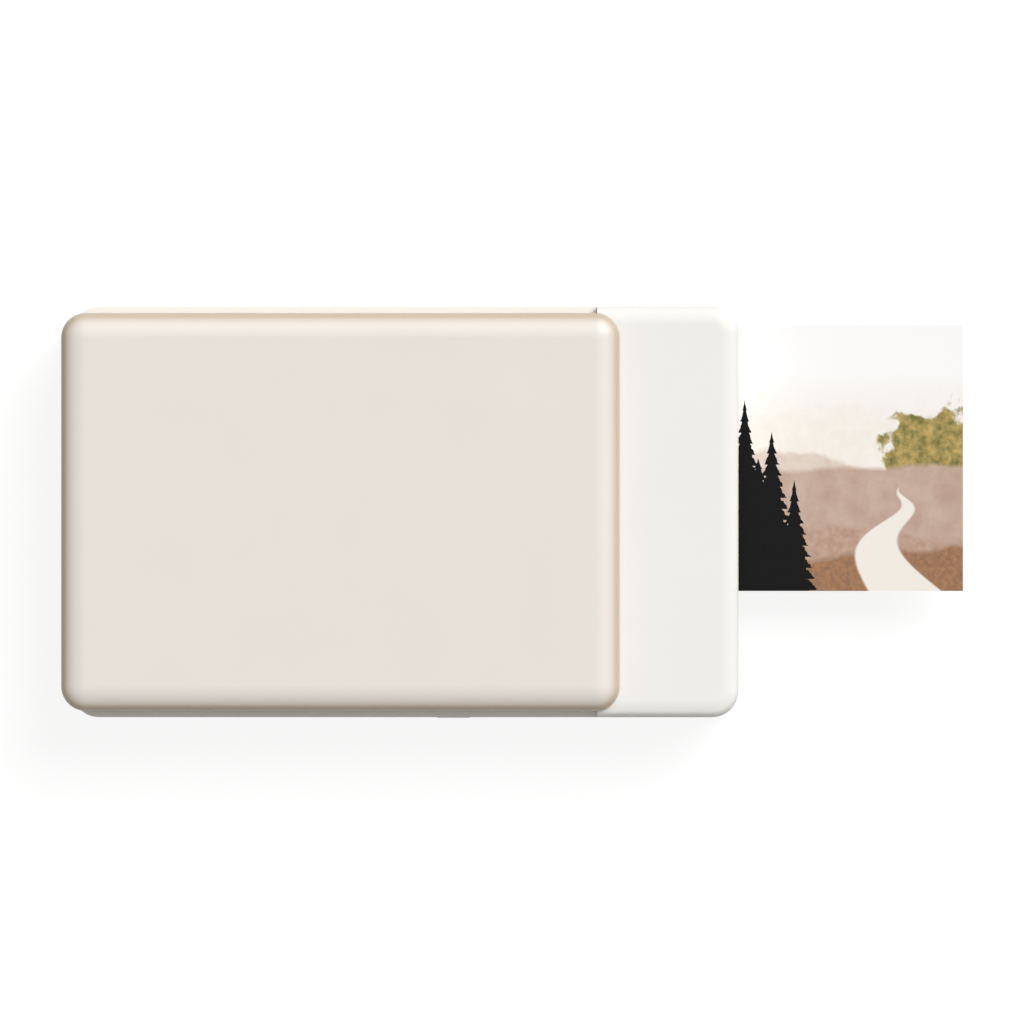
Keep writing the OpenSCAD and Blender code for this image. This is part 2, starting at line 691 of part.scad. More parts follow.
module platen_rubber() color(dark) {
    difference() {
        rod_y(platen_c, paper_y0 + 0.2, paper_y1 - 0.2, roller_r);
        rod_y(platen_c, paper_y0 - 2, paper_y1 + 2, shaft_r + bond_fit);
    }
}

module platen_gear() color(acetal) {
    difference() {
        union() {
            gear(platen_c, teeth_roller, platen_turn, layer_1, gear_w + layer_gap);
            gear(platen_c, teeth_drive, platen_turn, layer_2, gear_w);
        }
        rod_y(platen_c, layer_2 - 3, layer_1 + 1, shaft_r + bond_fit);
    }
}

module platen_bushes() color(acetal) {
    bush_pair(platen_c);
}

idler_post_r = 0.9;
module idler_gear_front() color(acetal) {
    difference() {
        gear(idler_a, teeth_idler, idler_a_turn, layer_1, gear_w);
        rod_y(idler_a, layer_1 - 3, layer_1 + 1, idler_post_r + run_fit);
    }
}

module idler_gear_rear() color(acetal) {
    difference() {
        gear(idler_b, teeth_idler, idler_b_turn, layer_1, gear_w);
        rod_y(idler_b, layer_1 - 3, layer_1 + 1, idler_post_r + run_fit);
    }
}

compound_post_r = 0.7;
small_y1 = layer_2 + layer_gap / 2;
module compound_gear() color(acetal) {
    difference() {
        union() {
            gear(compound_c, teeth_small, small_turn, small_y1, small_y1 - layer_3);
            gear(compound_c, teeth_big, small_turn, layer_3, gear_w);
        }
        rod_y(compound_c, layer_3 - 3, layer_1 + 1, compound_post_r + run_fit);
    }
}

clip_t = 0.12;
clip_gap = 0.05;
clip_reach = 0.65;
collar = 0.5;
module gear_posts() color(steel) {
    post_y1 = gear_plate_y - gear_plate_t / 2;
    collar_y1 = gear_plate_y - gear_plate_t;
    for (at = [idler_a, idler_b]) {
        rod_y(at, layer_1 - gear_w - clip_gap - clip_t, post_y1, idler_post_r);
        rod_y(at, layer_1 + 0.03, collar_y1, idler_post_r + collar);
    }
    rod_y(compound_c, layer_3 - gear_w - 0.3, post_y1, compound_post_r);
    rod_y(compound_c, small_y1 + 0.05, collar_y1, compound_post_r + collar);
}

module gear_clips() color(steel) {
    for (c = [[idler_a, layer_1, idler_post_r], [idler_b, layer_1, idler_post_r],
              [compound_c, layer_3, compound_post_r]]) {
        y1 = c[1] - gear_w - clip_gap;
        difference() {
            rod_y(c[0], y1 - clip_t, y1, c[2] + clip_reach);
            rod_y(c[0], y1 - 1, y1 + 1, c[2] + press_fit);
        }
    }
}

motor_shaft_r = 0.5;
module motor_pinion() color("#c9a45a") {
    difference() {
        gear(motor_c, teeth_small, motor_turn, layer_3, gear_w);
        rod_y(motor_c, layer_3 - 3, layer_3 + 1, motor_shaft_r + press_fit);
    }
}

module motor_shaft() color(steel) {
    rod_y(motor_c, motor_y - 3, layer_3, motor_shaft_r);
}

module motor_can() color(steel) {
    difference() {
        union() {
            intersection() {
                span([motor_c[0] - motor_w / 2, can_y - motor_l + 1.5, motor_c[1] - motor_h / 2],
                     [motor_c[0] + motor_w / 2, can_y, motor_c[1] + motor_h / 2]);
                rod_y(motor_c, can_y - motor_l, can_y, motor_w / 2);
            }
            rod_y(motor_c, can_y, can_y + bracket_t + 0.2, 1.6);
        }
        rod_y(motor_c, motor_y - 3.2, motor_y + 2, motor_shaft_r + run_fit);
    }
}

module motor_end_cap() color(dark) {
    intersection() {
        span([motor_c[0] - motor_w / 2, can_y - motor_l, motor_c[1] - motor_h / 2],
             [motor_c[0] + motor_w / 2, can_y - motor_l + 1.5, motor_c[1] + motor_h / 2]);
        rod_y(motor_c, can_y - motor_l - 1, can_y, motor_w / 2 - 0.2);
    }
}

module motor_bracket() color(steel) {
    difference() {
        union() {
            span([motor_c[0] - motor_w / 2 - 1, can_y, floor_t],
                 [motor_c[0] + motor_w / 2 + 1, motor_y, motor_c[1] + motor_h / 2]);
            span([motor_c[0] - motor_w / 2 - 1, can_y - 2.4, floor_t],
                 [motor_c[0] + motor_w / 2 + 1, motor_y, floor_t + bracket_t]);
        }
        rod_y(motor_c, can_y - 1, motor_y + 1, 1.62);
    }
}

plate_x0 = bridge_x + 0.3;
plate_x1 = inner_x - 2.6;
plate_top = deck_under - 0.4;
ribbon_x = [platen_x + 4.6, platen_x + 9];
module gear_side_plate() color(steel) {
    difference() {
        union() {
            span([plate_x0, gear_plate_y - gear_plate_t, floor_t + 0.5], [plate_x1, gear_plate_y, plate_top]);
            for (x = foot_x)
                span([x - foot_w / 2, gear_plate_y - 0.1, foot_z],
                     [x + foot_w / 2, gear_plate_y + foot_w, foot_z + foot_t]);
        }
        for (at = [pickup_c, platen_c])
            rod_y(at, gear_plate_y - 3, gear_plate_y + 1, bush_body_r + press_fit);
        for (at = [idler_a, idler_b])
            rod_y(at, gear_plate_y - 3, gear_plate_y + 1, idler_post_r + press_fit);
        rod_y(compound_c, gear_plate_y - 3, gear_plate_y + 1, compound_post_r + press_fit);
        rod_y([pivot_x, pivot_z], gear_plate_y - 3, gear_plate_y + 1, pivot_r + press_fit);
        for (x = foot_x)
            translate([x, gear_foot_y, foot_z - 1]) cylinder(r = small_screw_r + 0.05, h = 3);
        // Notch that lets the ribbon out
        span([ribbon_x[0] - 0.5, gear_plate_y - 3, plate_top - 1.3],
             [ribbon_x[1] + 0.5, gear_plate_y + 1, plate_top + 1]);
    }
}

module back_side_plate() color(steel) {
    difference() {
        union() {
            span([plate_x0, back_plate_y, floor_t + 0.5], [plate_x1, back_plate_y + back_plate_t, plate_top]);
            for (x = foot_x)
                span([x - foot_w / 2, back_plate_y - foot_w, foot_z],
                     [x + foot_w / 2, back_plate_y + 0.1, foot_z + foot_t]);
        }
        for (at = [pickup_c, platen_c])
            rod_y(at, back_plate_y - 1, back_plate_y + 3, bush_body_r + press_fit);
        rod_y([pivot_x, pivot_z], back_plate_y - 1, back_plate_y + 3, pivot_r + press_fit);
        for (x = foot_x)
            translate([x, back_foot_y, foot_z - 1]) cylinder(r = small_screw_r + 0.05, h = 3);
    }
}

guide_y = [gear_plate_y + 0.02, back_plate_y - 0.02];
sensor_y = paper_yc - 4;
module entry_guide() color(dark) {
    difference() {
        union() {
            span([tray_x1 + 0.05, guide_y[0], path_z - 1.4],
                 [platen_x - roller_r - 0.5, guide_y[1], path_z - 0.15]);
            span([tray_x1 + 0.05, guide_y[0], foot_z + foot_t + 0.9],
                 [tray_x1 + 1.05, guide_y[1], path_z - 0.15]);
        }
        span([tray_x1 + 1.5, sensor_y - 2.1, path_z - 3], [tray_x1 + 4.7, sensor_y + 2.1, path_z]);
    }
}

module paper_sensor() color("#151515") {
    span([tray_x1 + 1.6, sensor_y - 2, path_z - 2], [tray_x1 + 4.6, sensor_y + 2, path_z - 0.3]);
}

module upper_guide() color(dark) {
    span([pickup_x + roller_r + 0.8, guide_y[0], path_top + 0.35],
         [head_x0 - 0.6, guide_y[1], path_top + 1.15]);
    span([pickup_x + roller_r + 0.8, guide_y[0], path_top + 0.8],
         [pickup_x + roller_r + 1.6, guide_y[1], path_top + 3]);
}

module exit_guide() color(dark) {
    span([platen_x + roller_r + 0.5, guide_y[0], path_z - 1.4], [inner_x - 1.1, guide_y[1], path_z - 0.15]);
    for (y = [paper_yc - 18, paper_yc, paper_yc + 18])
        span([platen_x + roller_r + 3, y - 0.5, path_z - 3.2], [inner_x - 1.1, y + 0.5, path_z - 1.3]);
}

module thermal_head() color("#d8d2c4") {
    span([head_x0, paper_y0 + 0.1, path_top + nip], [head_x1, paper_y1 - 0.1, heatsink_z]);
}

module head_driver_cap() color("#151515") {
    span([head_x1 + 0.3, paper_y0 + 3, path_top + nip + 0.15], [head_x1 + 3.2, paper_y1 - 3, heatsink_z]);
}

module head_heatsink() color("#c8cacc") {
    difference() {
        span([head_x0 - 0.3, gear_plate_y + 0.5, heatsink_z],
             [pivot_x + 1.6, back_plate_y - 0.3, heatsink_z + heatsink_t]);
        rod_y([pivot_x, pivot_z], gear_plate_y - 1, back_plate_y + 1, pivot_r + run_fit);
        // Seats for the springs
        for (y = head_spring_y)
            translate([platen_x, y, heatsink_z + heatsink_t - 0.3]) cylinder(r = head_spring_r + 0.3, h = 2);
    }
}

module head_pivot_pin() color(steel) {
    rod_y([pivot_x, pivot_z], gear_plate_y - gear_plate_t, back_plate_y + back_plate_t, pivot_r);
}

module head_springs() color(steel) {
    for (y = head_spring_y)
        translate([platen_x, y, 0])
            coil(head_spring_r, spring_wire, heatsink_z + heatsink_t - 0.28, bridge_z - 0.02, 4);
}

module head_spring_bridge() color(steel) {
    span([platen_x - 3, gear_plate_y + 0.01, bridge_z],
         [platen_x + 3, back_plate_y - 0.01, bridge_z + bridge_t]);
}

// The flat cable runs up from the head, over the gears and down to its socket
ribbon_t = 0.15;
ribbon_z = deck_under - 0.3 - ribbon_t;
ribbon_y = [board_y0 + 5.5, board_y0 + 10.5];
ribbon_end = board_x1 - 2.7;
module head_ribbon() color("#e9e9e4") {
    y_up = gear_plate_y + 0.7;
    top = ribbon_z + ribbon_t;
    span([ribbon_x[0], y_up, heatsink_z + heatsink_t + 0.02], [ribbon_x[1], y_up + ribbon_t, top]);
    span([ribbon_x[0], ribbon_y[0], ribbon_z], [ribbon_x[1], y_up + ribbon_t, top]);
    span([ribbon_end, ribbon_y[0], ribbon_z], [ribbon_x[1], ribbon_y[1], top]);
    span([ribbon_end, ribbon_y[0], board_top + 1.3], [ribbon_end + ribbon_t, ribbon_y[1], top]);
}

module ribbon_socket() color(acetal) {
    difference() {
        span([ribbon_end - 1.6, ribbon_y[0] - 0.8, board_top],
             [ribbon_end + 1.8, ribbon_y[1] + 0.8, board_top + 1.9]);
        span([ribbon_end - 0.02, ribbon_y[0] - 0.02, board_top + 1.25],
             [ribbon_end + ribbon_t + 0.02, ribbon_y[1] + 0.02, board_top + 3]);
    }
}

module main_board() color("#1f6b3f") {
    span([board_x0, board_y0, board_z], [board_x1, board_y0 + board_w, board_top]);
}

chips = [[-30, 9, 7, 7, 1], [-18, 8, 5, 5, 0.9], [-40, 6, 4, 3, 0.8], [-2, 11, 6, 4, 1], [-10, 5, 3, 3, 0.8],
         [-12, 12.5, 3, 2.4, 1]];
module board_chips() color("#151515") {
    for (c = chips)
        translate([port_x + c[0] - c[2] / 2, board_y0 + c[1] - c[3] / 2, board_top]) cube([c[2], c[3], c[4]]);
}

module radio_shield() color(steel) {
    span([board_x0 + 2, board_y0 + 2, board_top], [board_x0 + 13, board_y0 + 6, board_top + 1.6]);
}

module usb_shell() color(steel) {
    translate([port_x, -half_w + 0.3 + port[2], port_z]) rotate([90, 0, 0]) difference() {
        linear_extrude(port[2]) polygon(rounded_pts(port[0], port[1], 1.55));
        translate([0, 0, 0.4]) linear_extrude(port[2])
            polygon(rounded_pts(port[0] - 0.6, port[1] - 0.6, 1.25));
    }
}

module usb_tongue() color("#151515") {
    span([port_x - 3.35, -half_w + 1, port_z - 0.35],
         [port_x + 3.35, -half_w + 0.3 + port[2] - 0.41, port_z + 0.35]);
}

stem_y0 = flange_y + flange_t + button_travel;
stem_y1 = switch_y + 0.7;
stem_r = 0.85;
module button_switch() color(dark) {
    difference() {
        span([button_x - 2.6, switch_y, board_top], [button_x + 2.6, switch_y + 3, board_top + 3.2]);
        rod_y([button_x, button_z], switch_y - 1, stem_y1 + button_travel + 0.2, stem_r + 0.1);
    }
}

module switch_stem() color("#d9d4c6") {
    rod_y([button_x, button_z], stem_y0, stem_y1, stem_r);
}

module power_button() color(white) {
    face_y = -half_w - button_proud;
    translate([button_x, flange_y + 0.01, button_z]) rotate([90, 0, 0])
        linear_extrude(flange_y - face_y) polygon(rounded_pts(button[0], button[1], 0.9));
    span([button_x - button[0] / 2 - 0.7, flange_y, button_z - button[1] / 2 - 0.5],
         [button_x + button[0] / 2 + 0.4, flange_y + flange_t, button_z + button[1] / 2 + 0.6]);
    rod_y([button_x, button_z], flange_y + flange_t - 0.01, stem_y0, stem_r);
}

module light_pipe() color("#f4f8ff") {
    rod_y([pipe_x, button_z], -half_w, board_y0 + 0.3, pipe_r);
}

module status_led() color("#fff7d0") {
    span([pipe_x - 0.5, board_y0 + 0.35, board_top], [pipe_x + 0.5, board_y0 + 1.15, button_z + 0.5]);
}

module battery_cell() color("#9aa0a6") {
    slab(battery_x0, battery_x0 + battery_l, paper_yc - battery_w / 2, paper_yc + battery_w / 2,
         floor_t + pad_t, battery_top, 1.5);
}

module battery_pad() color(dark) {
    span([battery_x0 + 5, paper_yc - battery_w / 2 + 4, floor_t],
         [battery_x0 + battery_l - 5, paper_yc + battery_w / 2 - 4, floor_t + pad_t]);
}

plug_x = port_x - 44;
plug_y = board_y0 + board_w - 3.6;
module battery_plug() color(acetal) {
    span([plug_x - 2.4, plug_y - 1.8, board_top], [plug_x + 2.4, plug_y + 1.8, board_top + 2.4]);
}

// Leads from the battery to the board
wire_r = 0.4;
module battery_wires() color("#a03030") {
    for (i = [0, 1]) {
        x = plug_x - 0.9 + 1.8 * i;
        tube([[x, plug_y + 1.81, board_top + 1], [x, plug_y + 3, board_top + 1],
              [x, plug_y + 5, board_top + 0.6], [x + 3, plug_y + 8, floor_t + 2.6],
              [x + 3, paper_yc - battery_w / 2 - 0.01, floor_t + 2.6]], wire_r, 8, [0, 0, 1]);
    }
}

module motor_wires() color("#303030") {
    x0 = motor_c[0] - motor_w / 2;
    y0 = can_y - motor_l + 0.75;
    for (i = [0, 1]) {
        z = motor_c[1] - 1.4 + 2.4 * i;
        y = board_y0 + 2 + 1.3 * i;
        solder_z = board_top + wire_r + 0.01;
        tube([[x0 + 0.2, y0, z], [x0 - 2, y0, z], [x0 - 6, (y0 + y) / 2, z - 1.5],
              [board_x1 + 0.4, y, solder_z + 0.3], [board_x1 - 0.4, y, solder_z],
              [board_x1 - 1.8, y, solder_z]], wire_r, 8, [0, 0, 1]);
    }
}

module case_screws() color("#6f7276") {
    for (p = case_screw_at) translate([p[0], p[1], 0]) difference() {
        union() {
            translate([0, 0, screw_seat - screw_head_t]) cylinder(r = screw_head_r, h = screw_head_t);
            translate([0, 0, screw_seat - 0.01]) cylinder(r = screw_r - 0.12, h = split_z + 4.5 - screw_seat);
        }
        for (a = [0, 90]) rotate([0, 0, a])
            translate([-1.1, -0.25, screw_seat - screw_head_t - 0.1]) cube([2.2, 0.5, 0.7]);
    }
}

module mechanism_screws() color("#6f7276") {
    for (p = foot_at) translate([p[0], p[1], 0]) difference() {
        union() {
            translate([0, 0, foot_z + foot_t + 0.01]) cylinder(r = small_head_r, h = 0.8);
            translate([0, 0, floor_t + 0.2])
                cylinder(r = small_screw_r - 0.12, h = foot_z - floor_t + foot_t);
        }
        for (a = [0, 90]) rotate([0, 0, a])
            translate([-0.9, -0.2, foot_z + foot_t + 0.4]) cube([1.8, 0.4, 1]);
    }
}

bottom_shell();
top_frame();
top_cover();
paper_tray();
lift_plate();
lift_plate_pin();
lift_springs();
paper_stack();
print_sheet();
pickup_shaft();
pickup_tyres();
pickup_gear();
pickup_bushes();
platen_shaft();
platen_rubber();
platen_gear();
platen_bushes();
idler_gear_front();
idler_gear_rear();
compound_gear();
gear_posts();
gear_clips();
motor_pinion();
motor_shaft();
motor_can();
motor_end_cap();
motor_bracket();
gear_side_plate();
back_side_plate();
entry_guide();
upper_guide();
exit_guide();
thermal_head();
head_driver_cap();
head_heatsink();
head_pivot_pin();
head_springs();
head_spring_bridge();
head_ribbon();
ribbon_socket();
paper_sensor();
main_board();
board_chips();
radio_shield();
usb_shell();
usb_tongue();
button_switch();
switch_stem();
power_button();
light_pipe();
status_led();
battery_cell();
battery_pad();
battery_plug();
battery_wires();
motor_wires();
case_screws();
mechanism_screws();
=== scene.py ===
"""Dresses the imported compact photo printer: mouldings, screws, springs, leads, finishes, light and camera."""

import json
import logging
import math
from dataclasses import dataclass, field
from enum import Enum

import bmesh
import bpy
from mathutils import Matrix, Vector

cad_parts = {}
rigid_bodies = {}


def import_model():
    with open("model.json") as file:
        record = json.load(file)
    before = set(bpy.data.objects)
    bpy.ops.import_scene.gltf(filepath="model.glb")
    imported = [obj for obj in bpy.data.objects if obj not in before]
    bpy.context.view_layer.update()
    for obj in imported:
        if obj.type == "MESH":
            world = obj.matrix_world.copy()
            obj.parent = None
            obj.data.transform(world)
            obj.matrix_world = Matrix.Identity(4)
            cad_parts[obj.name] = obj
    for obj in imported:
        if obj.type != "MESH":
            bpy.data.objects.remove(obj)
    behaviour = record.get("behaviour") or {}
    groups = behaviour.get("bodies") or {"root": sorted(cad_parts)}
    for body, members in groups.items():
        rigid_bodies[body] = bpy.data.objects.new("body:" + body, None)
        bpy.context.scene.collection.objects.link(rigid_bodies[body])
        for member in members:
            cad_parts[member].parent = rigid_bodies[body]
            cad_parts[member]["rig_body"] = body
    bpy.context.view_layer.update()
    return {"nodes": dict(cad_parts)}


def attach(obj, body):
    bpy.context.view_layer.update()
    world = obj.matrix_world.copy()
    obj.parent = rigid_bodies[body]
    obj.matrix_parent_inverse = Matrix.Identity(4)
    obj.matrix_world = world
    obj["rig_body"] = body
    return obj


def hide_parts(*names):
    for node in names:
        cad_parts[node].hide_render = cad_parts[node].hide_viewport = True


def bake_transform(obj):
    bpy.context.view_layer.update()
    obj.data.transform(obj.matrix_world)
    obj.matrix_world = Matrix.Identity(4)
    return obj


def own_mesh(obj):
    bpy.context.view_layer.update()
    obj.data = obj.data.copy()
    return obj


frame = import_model()
MM = 0.001
# Points nearer than this, in metres, become one
WELD = 1e-7
WHITE = (1, 1, 1, 1)
# Nearly all of a noise texture's values lie between these
NOISE_LOW = 0.3
NOISE_HIGH = 0.7
log = logging.getLogger("printer")

Tree = bpy.types.NodeTree
Node = bpy.types.Node
Socket = bpy.types.NodeSocket


def linear(hex_colour: str) -> tuple[float, float, float, float]:
    """Turns an sRGB hex colour into linear light.

    Args:
        hex_colour: Six hex digits after a hash sign.

    Returns:
        Red, green, blue and an alpha of one.
    """
    parts = [int(hex_colour[i : i + 2], 16) / 255 for i in (1, 3, 5)]
    lit = [p / 12.92 if p <= 0.04045 else ((p + 0.055) / 1.055) ** 2.4 for p in parts]
    return (lit[0], lit[1], lit[2], 1.0)


def add(tree: Tree, kind: str, inputs: dict | None = None, **settings: object) -> Node:
    """Adds one node with its settings, values and links.

    Args:
        tree: The shader or geometry tree that gets the node.
        kind: Blender's name of the node type.
        inputs: For a socket's name or index, the value it holds or the output or outputs that feed it.
        settings: Properties of the node itself.

    Returns:
        The new node.
    """
    node = tree.nodes.new(kind)
    for key, value in settings.items():
        setattr(node, key, value)
    for key, value in (inputs or {}).items():
        for one in value if isinstance(value, list) else [value]:
            if isinstance(one, Socket):
                tree.links.new(one, node.inputs[key])
            else:
                node.inputs[key].default_value = one
    return node


class Grain(Enum):
    """The way that making a surface drew out its grain, as a stretch of the pattern on each axis."""

    EVEN = (1.0, 1.0, 1.0)
    BRUSHED_X = (0.04, 1.0, 1.0)
    BRUSHED_Y = (1.0, 0.04, 1.0)
    TURNED_ON_Y = (0.05, 1.0, 0.05)
    TURNED_ON_Z = (0.05, 0.05, 1.0)


@dataclass(frozen=True)
class Finish:
    """A surface: what it is made of and how, as numbers for one shader. Lengths are in millimetres."""

    name: str
    colour: str
    roughness: float
    grain_mm: float
    relief_mm: float
    grain: Grain = Grain.EVEN
    metal: bool = False
    ior: float = 1.5
    shade: str = ""
    extra: tuple[tuple[str, float], ...] = ()
    drift_mm: float = 14.0
    rough_spread: float = 0.15

    def paint(self, tree: Tree, place: Socket) -> Socket:
        """Builds the colour: the finish's own, which wanders slowly to a shade beside it.

        Args:
            tree: The material's tree.
            place: Object coordinates, in metres.

        Returns:
            The colour output.
        """
        slow = add(tree, "ShaderNodeTexNoise", {"Vector": place, "Scale": 1 / (self.drift_mm * MM),
            "Detail": 2.0})
        other = self.shade or self.colour
        mixed = add(tree, "ShaderNodeMix", {0: slow.outputs["Fac"], 6: linear(self.colour), 7: linear(other)},
            data_type="RGBA")
        return mixed.outputs[2]

    def relief(self, tree: Tree, place: Socket) -> Socket:
        """Builds the height of the fine surface, from 0 to 1, out of the grain's own size and direction.

        Args:
            tree: The material's tree.
            place: Object coordinates, in metres.

        Returns:
            The height output.
        """
        drawn = add(tree, "ShaderNodeMapping", {"Vector": place, "Scale": self.grain.value})
        fine = add(tree, "ShaderNodeTexNoise", {"Vector": drawn.outputs[0], "Scale": 1 / (self.grain_mm * MM),
            "Detail": 3.0, "Roughness": 0.6})
        return fine.outputs["Fac"]

    def material(self) -> bpy.types.Material:
        """Builds the material that this finish describes.

        Returns:
            The new material.
        """
        made = bpy.data.materials.new(self.name)
        made.use_nodes = True
        tree = made.node_tree
        tree.nodes.clear()
        place = add(tree, "ShaderNodeTexCoord").outputs["Object"]
        height = self.relief(tree, place)
        rough = add(tree, "ShaderNodeMapRange", {"Value": height, "From Min": NOISE_LOW,
            "From Max": NOISE_HIGH, "To Min": self.roughness * (1 - self.rough_spread),
            "To Max": self.roughness * (1 + self.rough_spread)})
        bump = add(tree, "ShaderNodeBump", {"Height": height, "Distance": self.relief_mm * MM})
        shader = add(tree, "ShaderNodeBsdfPrincipled", {"Base Color": self.paint(tree, place),
            "Roughness": rough.outputs[0], "Normal": bump.outputs[0], "Metallic": 1.0 if self.metal else 0.0})
        if not self.metal:
            shader.inputs["IOR"].default_value = self.ior
        for socket, value in self.extra:
            shader.inputs[socket].default_value = value
        add(tree, "ShaderNodeOutputMaterial", {"Surface": shader.outputs[0]})
        return made


@dataclass(frozen=True)
class SolderMask(Finish):
    """Green lacquer over etched copper: tracks show as a lighter green, and bare pads as pale gold."""

    track: str = "#2C7A50"
    pad: str = "#C9B27A"
    pitch_mm: float = 0.7
    track_share: float = 0.42
    patch_mm: float = 6.0
    turned_share: float = 0.35
    poured_share: float = 0.3
    pad_pitch_mm: float = 1.3
    pad_half: float = 0.24
    row_share: float = 0.22

    def paint(self, tree: Tree, place: Socket) -> Socket:
        """Builds the board's colour: patches of parallel tracks, along X or along Y, and rows of bare pads.

        Args:
            tree: The material's tree.
            place: Object coordinates, in metres.

        Returns:
            The colour output.
        """
        patch = add(tree, "ShaderNodeTexVoronoi", {"Vector": place, "Scale": 1 / (self.patch_mm * MM),
            "Randomness": 0.7}, distance="CHEBYCHEV")
        tint = add(tree, "ShaderNodeSeparateColor", {"Color": patch.outputs["Color"]})
        turned = add(tree, "ShaderNodeMath", {0: tint.outputs[0], 1: self.turned_share},
            operation="LESS_THAN")
        axes = add(tree, "ShaderNodeSeparateXYZ", {"Vector": place})
        across = add(tree, "ShaderNodeMix", {0: turned.outputs[0], 2: axes.outputs["Y"],
            3: axes.outputs["X"]})
        steps = add(tree, "ShaderNodeMath", {0: across.outputs[0], 1: self.pitch_mm * MM}, operation="DIVIDE")
        part = add(tree, "ShaderNodeMath", {0: steps.outputs[0]}, operation="FRACT")
        line = add(tree, "ShaderNodeMath", {0: part.outputs[0], 1: self.track_share}, operation="LESS_THAN")
        poured = add(tree, "ShaderNodeMath", {0: tint.outputs[1], 1: self.poured_share},
            operation="LESS_THAN")
        copper = add(tree, "ShaderNodeMath", {0: line.outputs[0], 1: poured.outputs[0]}, operation="MAXIMUM")
        laid = add(tree, "ShaderNodeMix", {0: copper.outputs[0], 6: super().paint(tree, place),
            7: linear(self.track)}, data_type="RGBA")
        cell = add(tree, "ShaderNodeTexVoronoi", {"Vector": place, "Scale": 1 / (self.pad_pitch_mm * MM),
            "Randomness": 0.0}, distance="CHEBYCHEV")
        spot = add(tree, "ShaderNodeMath", {0: cell.outputs["Distance"], 1: self.pad_half},
            operation="LESS_THAN")
        rows = add(tree, "ShaderNodeMath", {0: tint.outputs[2], 1: self.row_share}, operation="LESS_THAN")
        bare = add(tree, "ShaderNodeMath", {0: spot.outputs[0], 1: rows.outputs[0]}, operation="MULTIPLY")
        done = add(tree, "ShaderNodeMix", {0: bare.outputs[0], 6: laid.outputs[2], 7: linear(self.pad)},
            data_type="RGBA")
        return done.outputs[2]


@dataclass(frozen=True)
class RimShadedLacquer(Finish):
    """Beige lacquer with a painted shade: the top is creamy, and the rim and the sides are painted darker and
    more tan.
    """

    # Colour of the painted shade on the rim: darker and more tan than the top
    rim: str = "#CCBBA5"
    shade_full_z_mm: float = 21.6
    shade_gone_z_mm: float = 22.85

    def paint(self, tree: Tree, place: Socket) -> Socket:
        """Builds the colour from the height on the cover: a painted shade on the rim and the sides that fades
        into the top's own colour.

        Args:
            tree: The material's tree.
            place: Object coordinates, in metres.

        Returns:
            The colour output.
        """
        axes = add(tree, "ShaderNodeSeparateXYZ", {"Vector": place})
        # Painted shade: full below the lower height, fading out by the upper one
        high = add(tree, "ShaderNodeMapRange", {"Value": axes.outputs["Z"], "From Min": self.shade_full_z_mm * MM,
            "From Max": self.shade_gone_z_mm * MM}, interpolation_type="SMOOTHSTEP")
        done = add(tree, "ShaderNodeMix", {0: high.outputs[0], 6: linear(self.rim),
            7: super().paint(tree, place)}, data_type="RGBA")
        return done.outputs[2]


@dataclass(frozen=True)
class FlatCableFilm(Finish):
    """White polyester film with flat conductors inside, which show through as fine grey lines along it."""

    line: str = "#A9ABAC"
    pitch_mm: float = 0.5
    line_share: float = 0.5
    turn_x_mm: float = 49.6

    def paint(self, tree: Tree, place: Socket) -> Socket:
        """Builds the lines, which run along Y up to the cable's fold and along X after it.

        Args:
            tree: The material's tree.
            place: Object coordinates, in metres.

        Returns:
            The colour output.
        """
        axes = add(tree, "ShaderNodeSeparateXYZ", {"Vector": place})
        near = add(tree, "ShaderNodeMath", {0: axes.outputs["X"], 1: self.turn_x_mm * MM},
            operation="GREATER_THAN")
        across = add(tree, "ShaderNodeMix", {0: near.outputs[0], 2: axes.outputs["Y"], 3: axes.outputs["X"]})
        steps = add(tree, "ShaderNodeMath", {0: across.outputs[0], 1: self.pitch_mm * MM}, operation="DIVIDE")
        part = add(tree, "ShaderNodeMath", {0: steps.outputs[0]}, operation="FRACT")
        line = add(tree, "ShaderNodeMath", {0: part.outputs[0], 1: self.line_share}, operation="GREATER_THAN")
        done = add(tree, "ShaderNodeMix", {0: line.outputs[0], 6: super().paint(tree, place),
            7: linear(self.line)}, data_type="RGBA")
        return done.outputs[2]


@dataclass(frozen=True)
class PouchFoil(Finish):
    """Aluminium laminate of a pouch cell, faintly crinkled, with amber tape along its terminal edge."""

    tape: str = "#B9792B"
    tape_edge_mm: float = -5.2

    def paint(self, tree: Tree, place: Socket) -> Socket:
        """Builds the foil's grey, with the tape on the side of its edge where the leads come out.

        Args:
            tree: The material's tree.
            place: Object coordinates, in metres.

        Returns:
            The colour output.
        """
        axes = add(tree, "ShaderNodeSeparateXYZ", {"Vector": place})
        taped = add(tree, "ShaderNodeMath", {0: axes.outputs["Y"], 1: self.tape_edge_mm * MM},
            operation="LESS_THAN")
        done = add(tree, "ShaderNodeMix", {0: taped.outputs[0], 6: super().paint(tree, place),
            7: linear(self.tape)}, data_type="RGBA")
        return done.outputs[2]


@dataclass(frozen=True)
class Layer:
    """One layer of the printed landscape: two tones, and where it lies in shares of the picture's size."""

    tone: str
    other: str
    top: float
    wave: float
    wave_scale: float
    slope: float = 0.0
    left: float = -9.0
    soft: float = 0.02
    mottle_scale: float = 14.0


@dataclass(frozen=True)
class Fir:
    """A fir's outline: its middle, the height of its top, and its half width at the picture's low edge."""

    across: float
    top: float
    half: float


